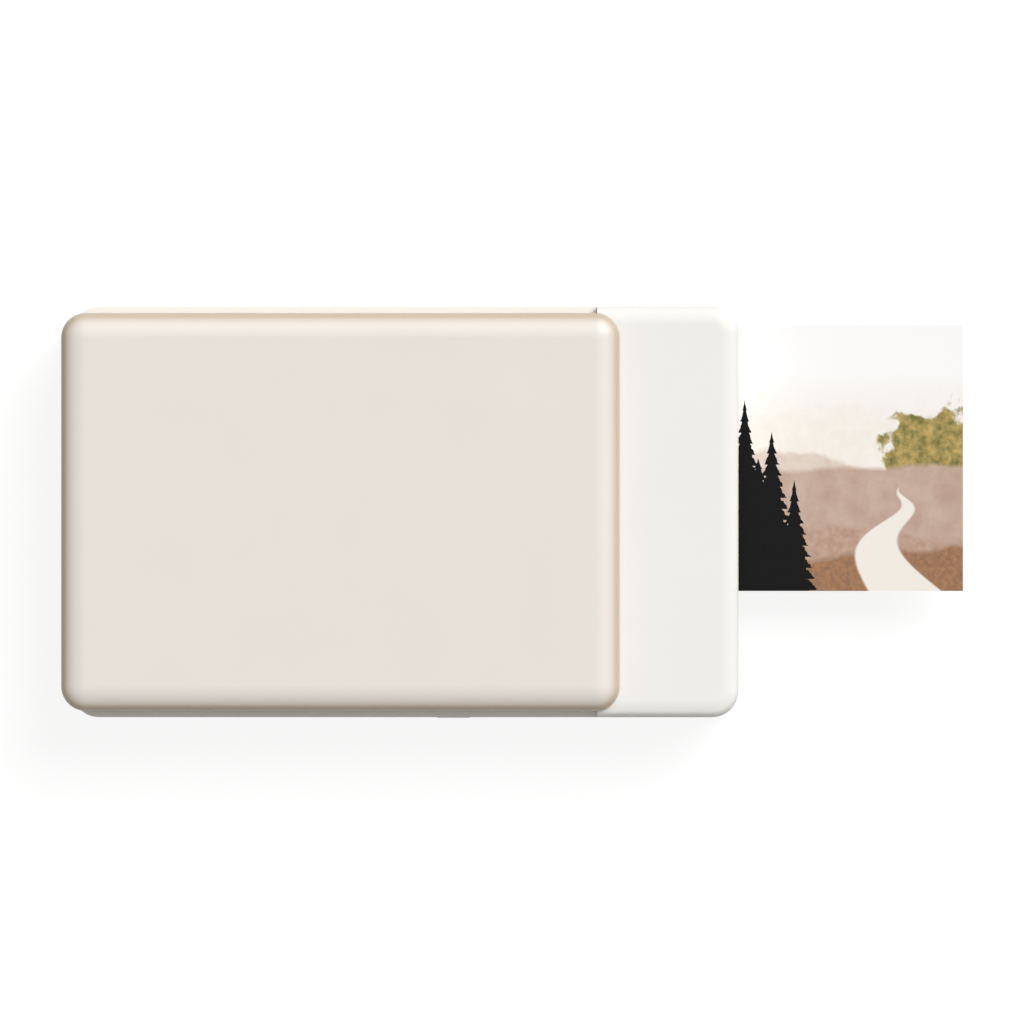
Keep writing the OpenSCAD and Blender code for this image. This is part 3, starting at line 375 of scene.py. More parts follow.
@dataclass(frozen=True)
class PrintedPicture(Finish):
    """Photo paper under its glossy overcoat: a made-up bright landscape fills the sheet to its edges."""

    low: tuple[float, float] = (62.5, -14.85)
    size: tuple[float, float] = (42.3, 50.0)
    paper: str = "#FFFFFF"
    layers: tuple[Layer, ...] = ()
    firs: tuple[Fir, ...] = ()
    fir_tone: str = "#040404"
    tiers: float = 24.0
    tier_depth: float = 0.4
    ragged_depth: float = 0.5
    ragged_scale: float = 60.0
    fir_least: float = 0.4
    split_low: float = 0.35
    split_high: float = 0.65
    path_tone: str = "#F6F0E8"
    path_horizon: float = 0.4
    path_middle: float = 0.72
    path_swing: float = 0.45
    path_turns: float = 1.6
    path_ease: float = 0.13
    path_width: float = 0.42
    path_edge: float = 0.012

    def lay(self, tree: Tree, spot: Socket, axes: Node, colour: object, layer: Layer) -> Socket:
        """Lays one hill, field or wood over what lies behind it.

        Args:
            tree: The material's tree.
            spot: The place in the picture, from 0 to 1 each way.
            axes: The same place, taken apart.
            colour: The picture so far.
            layer: What to lay.

        Returns:
            The new colour output.
        """
        noise = add(tree, "ShaderNodeTexNoise", {"Vector": spot, "Scale": layer.wave_scale, "Detail": 5.0})
        sway = add(tree, "ShaderNodeMath", {0: noise.outputs["Fac"], 1: layer.wave, 2: -layer.wave / 2},
            operation="MULTIPLY_ADD")
        swayed = [add(tree, "ShaderNodeMath", {0: axes.outputs[axis], 1: sway.outputs[0]},
                      operation="ADD").outputs[0]
                  for axis in ("X", "Y")]
        level = add(tree, "ShaderNodeMath", {0: axes.outputs["X"], 1: -layer.slope, 2: swayed[1]},
            operation="MULTIPLY_ADD")
        below = add(tree, "ShaderNodeMapRange", {"Value": level.outputs[0], "From Min": layer.top,
            "To Min": 1.0, "From Max": layer.top + layer.soft, "To Max": 0.0})
        right = add(tree, "ShaderNodeMapRange", {"Value": swayed[0], "From Min": layer.left,
            "From Max": layer.left + layer.soft})
        mottle = add(tree, "ShaderNodeTexNoise", {"Vector": spot, "Scale": layer.mottle_scale, "Detail": 6.0,
            "Roughness": 0.65})
        split = add(tree, "ShaderNodeMapRange", {"Value": mottle.outputs["Fac"], "From Min": self.split_low,
            "From Max": self.split_high})
        tone = add(tree, "ShaderNodeMix", {0: split.outputs[0], 6: linear(layer.tone),
            7: linear(layer.other)}, data_type="RGBA")
        here = add(tree, "ShaderNodeMath", {0: below.outputs[0], 1: right.outputs[0]}, operation="MULTIPLY")
        laid = add(tree, "ShaderNodeMix", {0: here.outputs[0], 6: colour, 7: tone.outputs[2]},
            data_type="RGBA")
        return laid.outputs[2]

    def path(self, tree: Tree, axes: Node) -> Socket:
        """Finds where the path runs: it swings to and fro, and narrows to nothing at the horizon.

        Args:
            tree: The material's tree.
            axes: The place in the picture, taken apart.

        Returns:
            An output of one on the path.
        """
        near = add(tree, "ShaderNodeMath", {0: self.path_horizon, 1: axes.outputs["Y"]}, operation="SUBTRACT")
        away = add(tree, "ShaderNodeMath", {0: near.outputs[0], 1: self.path_ease}, operation="ADD")
        turns = add(tree, "ShaderNodeMath", {0: self.path_turns, 1: away.outputs[0]}, operation="DIVIDE")
        swing = add(tree, "ShaderNodeMath", {0: turns.outputs[0]}, operation="SINE")
        reach = add(tree, "ShaderNodeMath", {0: near.outputs[0], 1: self.path_swing}, operation="MULTIPLY")
        middle = add(tree, "ShaderNodeMath", {0: swing.outputs[0], 1: reach.outputs[0], 2: self.path_middle},
            operation="MULTIPLY_ADD")
        aside = add(tree, "ShaderNodeMath", {0: axes.outputs["X"], 1: middle.outputs[0]},
            operation="SUBTRACT")
        off = add(tree, "ShaderNodeMath", {0: aside.outputs[0]}, operation="ABSOLUTE")
        half = add(tree, "ShaderNodeMath", {0: near.outputs[0], 1: self.path_width}, operation="MULTIPLY")
        room = add(tree, "ShaderNodeMath", {0: half.outputs[0], 1: off.outputs[0]}, operation="SUBTRACT")
        shown = add(tree, "ShaderNodeMapRange", {"Value": room.outputs[0], "From Min": 0.0,
            "From Max": self.path_edge})
        return shown.outputs[0]

    def grow(self, tree: Tree, axes: Node, ragged: Socket, fir: Fir) -> Socket:
        """Finds where a fir stands: tiers that widen downwards, with a ragged edge.

        Args:
            tree: The material's tree.
            axes: The place in the picture, taken apart.
            ragged: A fine noise.
            fir: Which fir.

        Returns:
            An output of one inside its outline.
        """
        fall = add(tree, "ShaderNodeMath", {0: fir.top, 1: axes.outputs["Y"]}, operation="SUBTRACT")
        tiers = add(tree, "ShaderNodeMath", {0: fall.outputs[0], 1: self.tiers}, operation="MULTIPLY")
        tier = add(tree, "ShaderNodeMath", {0: tiers.outputs[0]}, operation="FRACT")
        rough = add(tree, "ShaderNodeMath", {0: ragged, 1: self.ragged_depth, 2: self.fir_least},
            operation="MULTIPLY_ADD")
        spread = add(tree, "ShaderNodeMath", {0: tier.outputs[0], 1: self.tier_depth, 2: rough.outputs[0]},
            operation="MULTIPLY_ADD")
        cone = add(tree, "ShaderNodeMath", {0: fall.outputs[0], 1: fir.half / fir.top}, operation="MULTIPLY")
        reach = add(tree, "ShaderNodeMath", {0: cone.outputs[0], 1: spread.outputs[0]}, operation="MULTIPLY")
        aside = add(tree, "ShaderNodeMath", {0: axes.outputs["X"], 1: fir.across}, operation="SUBTRACT")
        off = add(tree, "ShaderNodeMath", {0: aside.outputs[0]}, operation="ABSOLUTE")
        return add(tree, "ShaderNodeMath", {0: reach.outputs[0], 1: off.outputs[0]},
            operation="GREATER_THAN").outputs[0]

    def paint(self, tree: Tree, place: Socket) -> Socket:
        """Builds the picture: hills and fields back to front, a winding path, and firs in front on the left.

        Args:
            tree: The material's tree.
            place: Object coordinates, in metres.

        Returns:
            The colour output.
        """
        scale = (1 / (self.size[0] * MM), 1 / (self.size[1] * MM), 0.0)
        start = (-self.low[0] / self.size[0], -self.low[1] / self.size[1], 0.0)
        spot = add(tree, "ShaderNodeMapping", {"Vector": place, "Scale": scale, "Location": start}).outputs[0]
        axes = add(tree, "ShaderNodeSeparateXYZ", {"Vector": spot})
        colour = linear(self.paper)
        for layer in self.layers:
            colour = self.lay(tree, spot, axes, colour, layer)
        ragged = add(tree, "ShaderNodeTexNoise", {"Vector": spot, "Scale": self.ragged_scale,
            "Detail": 2.0}).outputs["Fac"]
        masks = [(self.path(tree, axes), self.path_tone)]
        masks += [(self.grow(tree, axes, ragged, fir), self.fir_tone) for fir in self.firs]
        for mask, tone in masks:
            colour = add(tree, "ShaderNodeMix", {0: mask, 6: colour, 7: linear(tone)},
                data_type="RGBA").outputs[2]
        return colour


LANDSCAPE = (
    # Warm haze over the horizon
    Layer("#FBF6EF", "#F7EFE6", 0.62, 0.10, 2.6, soft=0.2),
    # Far hills, pale with distance
    Layer("#E6D8CC", "#DDCDC0", 0.52, 0.16, 3.4, slope=-0.10),
    # Olive and gold trees on the right
    Layer("#6F7040", "#C9AE6C", 0.60, 0.30, 9.0, slope=0.06, left=0.66, mottle_scale=24.0),
    # Sandy field, and the darker slopes before it
    Layer("#CDB5A6", "#BFA293", 0.44, 0.06, 5.0, slope=0.02, mottle_scale=9.0),
    Layer("#B79682", "#C7AA99", 0.28, 0.14, 3.2, slope=-0.12, mottle_scale=30.0),
    Layer("#8F6E59", "#B0835F", 0.08, 0.12, 4.0, slope=0.08, mottle_scale=44.0),
)
FIRS = (Fir(0.03, 0.72, 0.16), Fir(0.15, 0.6, 0.15), Fir(0.25, 0.42, 0.1), Fir(0.09, 0.5, 0.2))

# A grain that is finer than the render can show, as on the mouldings, metals and papers, is drawn coarser
FINISHES: dict[str, Finish] = {
    # Injection-moulded ABS from a spark-eroded mould: an even, very fine matt grain
    "white_shell": Finish("white ABS, fine spark grain", "#F3F2EF", 0.42, 0.35, 0.004, shade="#F1F0EC"),
    # ABS with a soft-touch lacquer: satin, warmer, with a slow cloudiness, and a painted shade, darker and more
    # tan, on the rim and sides
    "beige_cover": RimShadedLacquer("beige lacquered ABS", "#EAE5DF", 0.38, 0.45, 0.004, shade="#E8E2DA"),
    # Glass-filled nylon, moulded: dark, half matt, with visible flow mottling
    "black_plastic": Finish("black glass-filled nylon", "#1D1D1F", 0.5, 0.25, 0.008, shade="#242427"),
    # Acetal, moulded: milky and slippery, with a waxy sheen
    "acetal": Finish("natural acetal", "#E9E6DB", 0.3, 0.5, 0.003, ior=1.48, shade="#E2DED0",
                     extra=(("Subsurface Weight", 0.15), ("Subsurface Scale", 0.001))),
    # Zinc-plated sheet, rolled: long soft lines along the strip
    "sheet_steel": Finish("zinc-plated sheet steel, rolled", "#B4B7B9", 0.34, 0.12, 0.003, Grain.BRUSHED_X,
                          True, shade="#A5A8AB"),
    # Ground and drawn stainless steel: bright, with fine rings round shafts and wire
    "bright_steel": Finish("stainless steel, ground", "#C9CBCC", 0.2, 0.08, 0.002, Grain.TURNED_ON_Y, True,
                           shade="#BDC0C2"),
    # Nickel-plated screws: smooth, with fine turned rings, and a shade darker than the zinc
    "screw_steel": Finish("nickel-plated screw steel", "#85888B", 0.28, 0.1, 0.003, Grain.TURNED_ON_Z, True,
                          shade="#6E7174"),
    # Hobbed brass, bare: yellow with a turned grain
    "brass": Finish("brass, turned", "#C9A352", 0.25, 0.08, 0.002, Grain.TURNED_ON_Y, True, shade="#B8903F"),
    # EPDM rubber, ground to size: dull, with a fine nap
    "roller_rubber": Finish("EPDM rubber, ground", "#2B2B2C", 0.82, 0.15, 0.012, Grain.TURNED_ON_Y,
                            shade="#353536"),
    # Extruded aluminium, bare: pale with die lines along the profile
    "aluminium": Finish("extruded aluminium", "#C4C7CA", 0.36, 0.1, 0.003, Grain.BRUSHED_Y, True,
                        shade="#B6B9BD"),
    # Alumina under a thin glass glaze: cream and glassy
    "ceramic": Finish("glazed alumina ceramic", "#DAD4C6", 0.16, 0.6, 0.002, ior=1.76, shade="#D0C9B8",
                      extra=(("Coat Weight", 0.4), ("Coat Roughness", 0.05))),
    # Uncut zero-ink sheets: clean white coated paper with a faint fibre cloud
    "blank_sheets": Finish("coated paper", "#F6F5F1", 0.45, 0.2, 0.003, shade="#EFEEE9"),
    # Dye layers under a clear overcoat: even gloss over deep blacks
    "printed_sheet": PrintedPicture("printed photo paper, glossy", "#FFFFFF", 0.3, 0.5, 0.002,
                                    layers=LANDSCAPE, firs=FIRS, extra=(("Specular IOR Level", 0.12),)),
    # Glass-epoxy board under sprayed green lacquer: glossy, with the copper tracks showing through
    "circuit_board": SolderMask("solder mask over copper", "#1C5E3A", 0.3, 0.3, 0.006, shade="#1A5535",
                                extra=(("Coat Weight", 0.3), ("Coat Roughness", 0.12))),
    # Cold-formed aluminium laminate: soft grey sheen, with crinkles some millimetres long
    "battery_foil": PouchFoil("aluminium pouch laminate", "#B9BEC3", 0.38, 3.5, 0.12, shade="#AEB4BA",
                              extra=(("Metallic", 0.65),)),
    # Open-cell polyurethane: dead matt, with pores of a third of a millimetre
    "foam": Finish("polyurethane foam", "#2D2D30", 0.95, 0.35, 0.08, shade="#38383B"),
    # PVC insulation, extruded: smooth with a soft gloss
    "wire_red": Finish("red PVC insulation", "#B3271F", 0.34, 0.3, 0.002, shade="#A5221B"),
    # The same insulation in black, a little less even
    "wire_black": Finish("black PVC insulation", "#1E1E20", 0.34, 0.3, 0.002, shade="#29292B"),
    # Laminated polyester film: white with a soft sheen, and the conductors showing as grey lines
    "ribbon_film": FlatCableFilm("polyester flat cable", "#ECECE7", 0.3, 0.4, 0.002, shade="#E4E4DE"),
    # Cast acrylic: clear, and polished by the mould
    "clear_plastic": Finish("clear acrylic", "#F4F7F8", 0.06, 0.5, 0.001, ior=1.49, shade="#EEF3F5",
                            extra=(("Transmission Weight", 0.9),)),
}
MATERIALS: dict[str, bpy.types.Material] = {}


def material_of(slot: str) -> bpy.types.Material:
    """Gives the one material that all pieces of a record slot share.

    Args:
        slot: The record's name of the material slot.

    Returns:
        The material, built at its first use.
    """
    if slot not in MATERIALS:
        MATERIALS[slot] = FINISHES[slot].material()
    return MATERIALS[slot]


def new_object(name: str, mesh: bpy.types.Mesh) -> bpy.types.Object:
    """Puts a mesh into the scene as an object at the origin.

    Args:
        name: The object's name.
        mesh: Its mesh, in metres, in place.

    Returns:
        The object.
    """
    made = bpy.data.objects.new(name, mesh)
    bpy.context.scene.collection.objects.link(made)
    return made


def stand_in(piece: bpy.types.Object, node: str) -> None:
    """Lets a finished piece stand for a CAD node, on that node's own body.

    Args:
        piece: The finished piece.
        node: The CAD node that it replaces.
    """
    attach(piece, frame["nodes"][node]["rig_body"])
    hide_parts(node)
    log.info("%s: %d faces, for %s", piece.name, len(piece.data.polygons), node)


@dataclass(frozen=True)
class Pillow:
    """The outside of a moulding: upright round corners, a rounding below, and above a rim and a crown.

    Lengths are in millimetres. Insets are how far the outline has shrunk at a height.
    """

    low: tuple[float, float]
    high: tuple[float, float]
    bottom: float
    top: float
    corner_r: float
    low_r: float
    rim_r: float
    crown_r: float
    crown_deg: float
    least_r: float = 0.6
    near: float = 0.06
    level_share: float = 0.01

    def edge(self, z: float) -> tuple[float, Vector]:
        """Finds the outline's inset at a height, and the way the surface faces there.

        Args:
            z: The height.

        Returns:
            The inset, and the parts of the outward direction along the outline's own outward way and upwards.
        """
        sin_c, cos_c = math.sin(math.radians(self.crown_deg)), math.cos(math.radians(self.crown_deg))
        crown_z = self.top - self.crown_r * (1 - cos_c)
        rim_z = crown_z - self.rim_r * cos_c
        if z < self.bottom + self.low_r:
            up = -min((self.bottom + self.low_r - z) / self.low_r, 1)
            out = math.sqrt(1 - up * up)
            return self.low_r * (1 - out), Vector((out, up))
        if z <= rim_z:
            return 0.0, Vector((1, 0))
        if z <= crown_z:
            up = (z - rim_z) / self.rim_r
            out = math.sqrt(1 - up * up)
            return self.rim_r * (1 - out), Vector((out, up))
        up = min(1 - (self.top - z) / self.crown_r, 1)
        out = math.sqrt(1 - up * up)
        return self.rim_r * (1 - sin_c) + self.crown_r * (sin_c - out), Vector((out, up))

    def normal(self, point: Vector) -> Vector | None:
        """Finds the exact surface direction at a point.

        Args:
            point: A point in millimetres.

        Returns:
            The direction outwards, or None for a point that isn't on this surface.
        """
        inset, faces = self.edge(point.z)
        radius = max(self.corner_r - inset, self.least_r)
        held = Vector([min(max(point[i], self.low[i] + inset + radius), self.high[i] - inset - radius)
                       for i in (0, 1)])
        out = Vector((point.x, point.y)) - held
        if faces[0] < self.level_share:
            return Vector((0, 0, math.copysign(1, faces[1]))) if out.length < radius + self.near else None
        if out.length < 1e-6 or abs(out.length - radius) * faces[0] > self.near:
            return None
        side = out.normalized() * faces[0]
        return Vector((side.x, side.y, faces[1]))


@dataclass
class Moulding:
    """A moulded shell: the CAD node's own shape, with its round faces shaded as round."""

    name: str
    node: str
    slot: str
    skin: Pillow | None = None
    join_mm: float = 0.001
    skin_deg: float = 14.0
    fan_deg: float = 28.0
    least_area: float = 1e-12

    def corner_normals(self, mesh: bpy.types.Mesh) -> list[Vector]:
        """Works out a normal for each face corner.

        A face that lies on the skin takes the skin's exact direction. Any other takes the mean of the faces
        that meet it at less than the fan's angle, each by its area, so that flat faces stay flat.

        Args:
            mesh: The joined mesh.

        Returns:
            One direction for each corner, in the mesh's order.
        """
        points = [v.co / MM for v in mesh.vertices]
        exact = [self.skin.normal(p) if self.skin else None for p in points]
        on_skin = math.cos(math.radians(self.skin_deg))
        in_fan = math.cos(math.radians(self.fan_deg))
        around: list[list[tuple[Vector, float]]] = [[] for _ in points]
        for face in mesh.polygons:
            for v in face.vertices:
                around[v].append((face.normal.copy(), face.area))
        normals = []
        for face in mesh.polygons:
            skins = [exact[v] for v in face.vertices]
            if all(n is not None and n.dot(face.normal) > on_skin for n in skins):
                normals += skins
                continue
            for v in face.vertices:
                fan = [n * area for n, area in around[v] if n.dot(face.normal) > in_fan]
                normals.append(sum(fan, face.normal * self.least_area).normalized())
        return normals

    def build(self) -> bpy.types.Object:
        """Copies the CAD node's mesh, joins its triangles, and gives it the new normals and its finish.

        Returns:
            The piece, which doesn't stand for its node yet.
        """
        mesh = frame["nodes"][self.node].data.copy()
        mesh.name = self.name
        work = bmesh.new()
        work.from_mesh(mesh)
        bmesh.ops.remove_doubles(work, verts=work.verts, dist=self.join_mm * MM)
        work.to_mesh(mesh)
        work.free()
        normals = self.corner_normals(mesh)
        mesh.shade_smooth()
        mesh.normals_split_custom_set(normals)
        mesh.materials.clear()
        mesh.materials.append(material_of(self.slot))
        return new_object(self.name, mesh)


@dataclass
class Casing:
    """The white base in its two halves, and the beige cover that slides on it."""

    base: Pillow = Pillow(low=(-62.5, -38.5), high=(62.5, 38.5), bottom=0, top=20.1, corner_r=5, low_r=2,
                          rim_r=1.6, crown_r=8, crown_deg=15)
    cover: Pillow = Pillow(low=(-64.5, -37.3), high=(40.2, 37.3), bottom=-9, top=23.1, corner_r=4.6,
                           low_r=0.5, rim_r=2.4, crown_r=7, crown_deg=30)

    def build(self) -> None:
        """Builds and dresses the three mouldings and the button."""
        for part in (Moulding("lower_shell_moulding", "bottom_shell", "white_shell", self.base),
                     Moulding("upper_frame_moulding", "top_frame", "white_shell", self.base),
                     Moulding("sliding_cover_moulding", "top_cover", "beige_cover", self.cover),
                     Moulding("power_button_cap", "power_button", "white_shell")):
            stand_in(part.build(), part.node)


class Recipe:
    """A Geometry Nodes tree with named inputs for its sizes, ready to be run on a few points or edges."""

    def __init__(self, name: str, sizes: dict[str, float | int]) -> None:
        """Starts the tree.

        Args:
            name: The tree's name.
            sizes: The named inputs with their usual values, whole numbers as int and lengths in metres.
        """
        self.tree = bpy.data.node_groups.new(name, "GeometryNodeTree")
        face = self.tree.interface
        face.new_socket("Geometry", in_out="INPUT", socket_type="NodeSocketGeometry")
        face.new_socket("Geometry", in_out="OUTPUT", socket_type="NodeSocketGeometry")
        for size, value in sizes.items():
            kind = "NodeSocketInt" if isinstance(value, int) else "NodeSocketFloat"
            face.new_socket(size, in_out="INPUT", socket_type=kind).default_value = value
        self.given = add(self.tree, "NodeGroupInput").outputs

    def close(self, made: Socket, smooth: bool, slot: str) -> None:
        """Ends the tree in Realize Instances and Set Material.

        Args:
            made: The geometry that the tree has made.
            smooth: Whether its faces are shaded round.
            slot: The record's material slot that it takes its finish from.
        """
        real = add(self.tree, "GeometryNodeRealizeInstances", {"Geometry": made})
        shaded = add(self.tree, "GeometryNodeSetShadeSmooth", {"Geometry": real.outputs[0],
            "Shade Smooth": smooth})
        dressed = add(self.tree, "GeometryNodeSetMaterial", {"Geometry": shaded.outputs[0],
            "Material": material_of(slot)})
        add(self.tree, "NodeGroupOutput", {0: dressed.outputs[0]})

    def run(self, name: str, points: list[tuple], edges: list[tuple], sizes: dict[str, float | int],
            round_deg: float = 35.0) -> bpy.types.Object:
        """Runs the tree on points or edges and keeps the result as a plain mesh.

        Args:
            name: The new piece's name.
            points: Points in millimetres.
            edges: Pairs of point numbers, or none where only the points matter.
            sizes: Values for the named inputs.
            round_deg: Faces that meet at less than this angle are shaded as one.

        Returns:
            The finished piece, with no modifier.
        """
        seed = bpy.data.meshes.new(name)
        seed.from_pydata([Vector(p) * MM for p in points], edges, [])
        piece = new_object(name, seed)
        modifier = piece.modifiers.new(name, "NODES")
        modifier.node_group = self.tree
        for item in self.tree.interface.items_tree:
            if item.in_out == "INPUT" and item.name in sizes:
                modifier[item.identifier] = sizes[item.name]
        graph = bpy.context.evaluated_depsgraph_get()
        mesh = bpy.data.meshes.new_from_object(piece.evaluated_get(graph))
        piece.modifiers.remove(modifier)
        piece.data = mesh
        work = bmesh.new()
        work.from_mesh(mesh)
        bmesh.ops.remove_doubles(work, verts=work.verts, dist=WELD)
        bmesh.ops.recalc_face_normals(work, faces=work.faces)
        work.to_mesh(mesh)
        work.free()
        mesh.shade_smooth()
        mesh.set_sharp_from_angle(angle=math.radians(round_deg))
        return piece


@dataclass(frozen=True)
class SpringPair:
    """Two equal springs on one joint. Lengths are in millimetres.

    The end at fixed_z stays, and at the joint's limit the springs keep this share of their height.
    """

    name: str
    node: str
    at: tuple[tuple[float, float, float], ...]
    height: float
    radius: float
    turns: float
    joint: str
    fixed_z: float
    keep: float


@dataclass
class Springs:
    """Compression springs of drawn wire, with their end turns closed and the middle turns open."""

    pairs: tuple[SpringPair, ...] = (
        SpringPair("lift_spring_coils", "lift_springs", ((22.0044, 0.15, 2.82), (22.0044, 20.15, 2.82)),
                   5.56, 2.2, 5.0, "paper_lift", 2.82, 0.825),
        SpringPair("head_spring_coils", "head_springs", ((45.0023, -4.85, 14.02), (45.0023, 25.15, 14.02)),
                   3.46, 1.8, 4.0, "head_lift", 17.48, 0.79),
    )
    wire_r: float = 0.2
    wire_sides: int = 10
    steps_a_turn: int = 28
    closed_share: float = 0.22
    closed_rise: float = 0.09

    def recipe(self) -> Recipe:
        """Builds the tree: a spiral whose rise is eased at both ends, swept by the wire, on each point.

        Returns:
            The recipe, which puts a spring on each point.
        """
        made = Recipe("closed-end spring", {"Coil radius": 0.002, "Wire radius": 0.0002, "Rise": 0.005,
                                            "Turns": 5.0})
        tree, given = made.tree, made.given
        spiral = add(tree, "GeometryNodeCurveSpiral", {"Resolution": self.steps_a_turn,
            "Rotations": given["Turns"], "Start Radius": given["Coil radius"],
            "End Radius": given["Coil radius"], "Height": given["Rise"]})
        along = add(tree, "GeometryNodeSplineParameter")
        ease = add(tree, "ShaderNodeFloatCurve", {"Value": along.outputs["Factor"]})
        line = ease.mapping.curves[0]
        line.points.new(self.closed_share, self.closed_rise)
        line.points.new(1 - self.closed_share, 1 - self.closed_rise)
        for point in line.points:
            point.handle_type = "VECTOR"
        ease.mapping.update()
        rise = add(tree, "ShaderNodeMath", {0: ease.outputs[0], 1: given["Rise"]}, operation="MULTIPLY")
        lift = add(tree, "ShaderNodeMath", {0: rise.outputs[0], 1: given["Wire radius"]}, operation="ADD")
        here = add(tree, "ShaderNodeSeparateXYZ", {0: add(tree, "GeometryNodeInputPosition").outputs[0]})
        there = add(tree, "ShaderNodeCombineXYZ", {0: here.outputs[0], 1: here.outputs[1],
            2: lift.outputs[0]})
        eased = add(tree, "GeometryNodeSetPosition", {"Geometry": spiral.outputs[0],
            "Position": there.outputs[0]})
        section = add(tree, "GeometryNodeCurvePrimitiveCircle", {"Resolution": self.wire_sides,
            "Radius": given["Wire radius"]})
        wire = add(tree, "GeometryNodeCurveToMesh", {"Curve": eased.outputs[0],
            "Profile Curve": section.outputs[0], "Fill Caps": True})
        placed = add(tree, "GeometryNodeInstanceOnPoints", {"Points": given["Geometry"],
            "Instance": wire.outputs[0]})
        made.close(placed.outputs[0], True, "bright_steel")
        return made

    def build(self) -> None:
        """Builds both pairs of springs."""
        made = self.recipe()
        for pair in self.pairs:
            sizes = {"Coil radius": (pair.radius - self.wire_r) * MM, "Wire radius": self.wire_r * MM,
                     "Rise": (pair.height - 2 * self.wire_r) * MM, "Turns": pair.turns}
            piece = made.run(pair.name, list(pair.at), [], sizes)
            stand_in(piece, pair.node)
            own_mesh(piece)


@dataclass(frozen=True)
class ScrewSet:
    """A set of equal screws, each with its seat at one place. Lengths are in millimetres."""

    name: str
    node: str
    at: tuple[tuple[float, float, float], ...]
    turned_over: bool
    head_r: float
    head_h: float
    core_r: float
    length: float
    thread: float
    turns: float
    cross: float
    recess: float


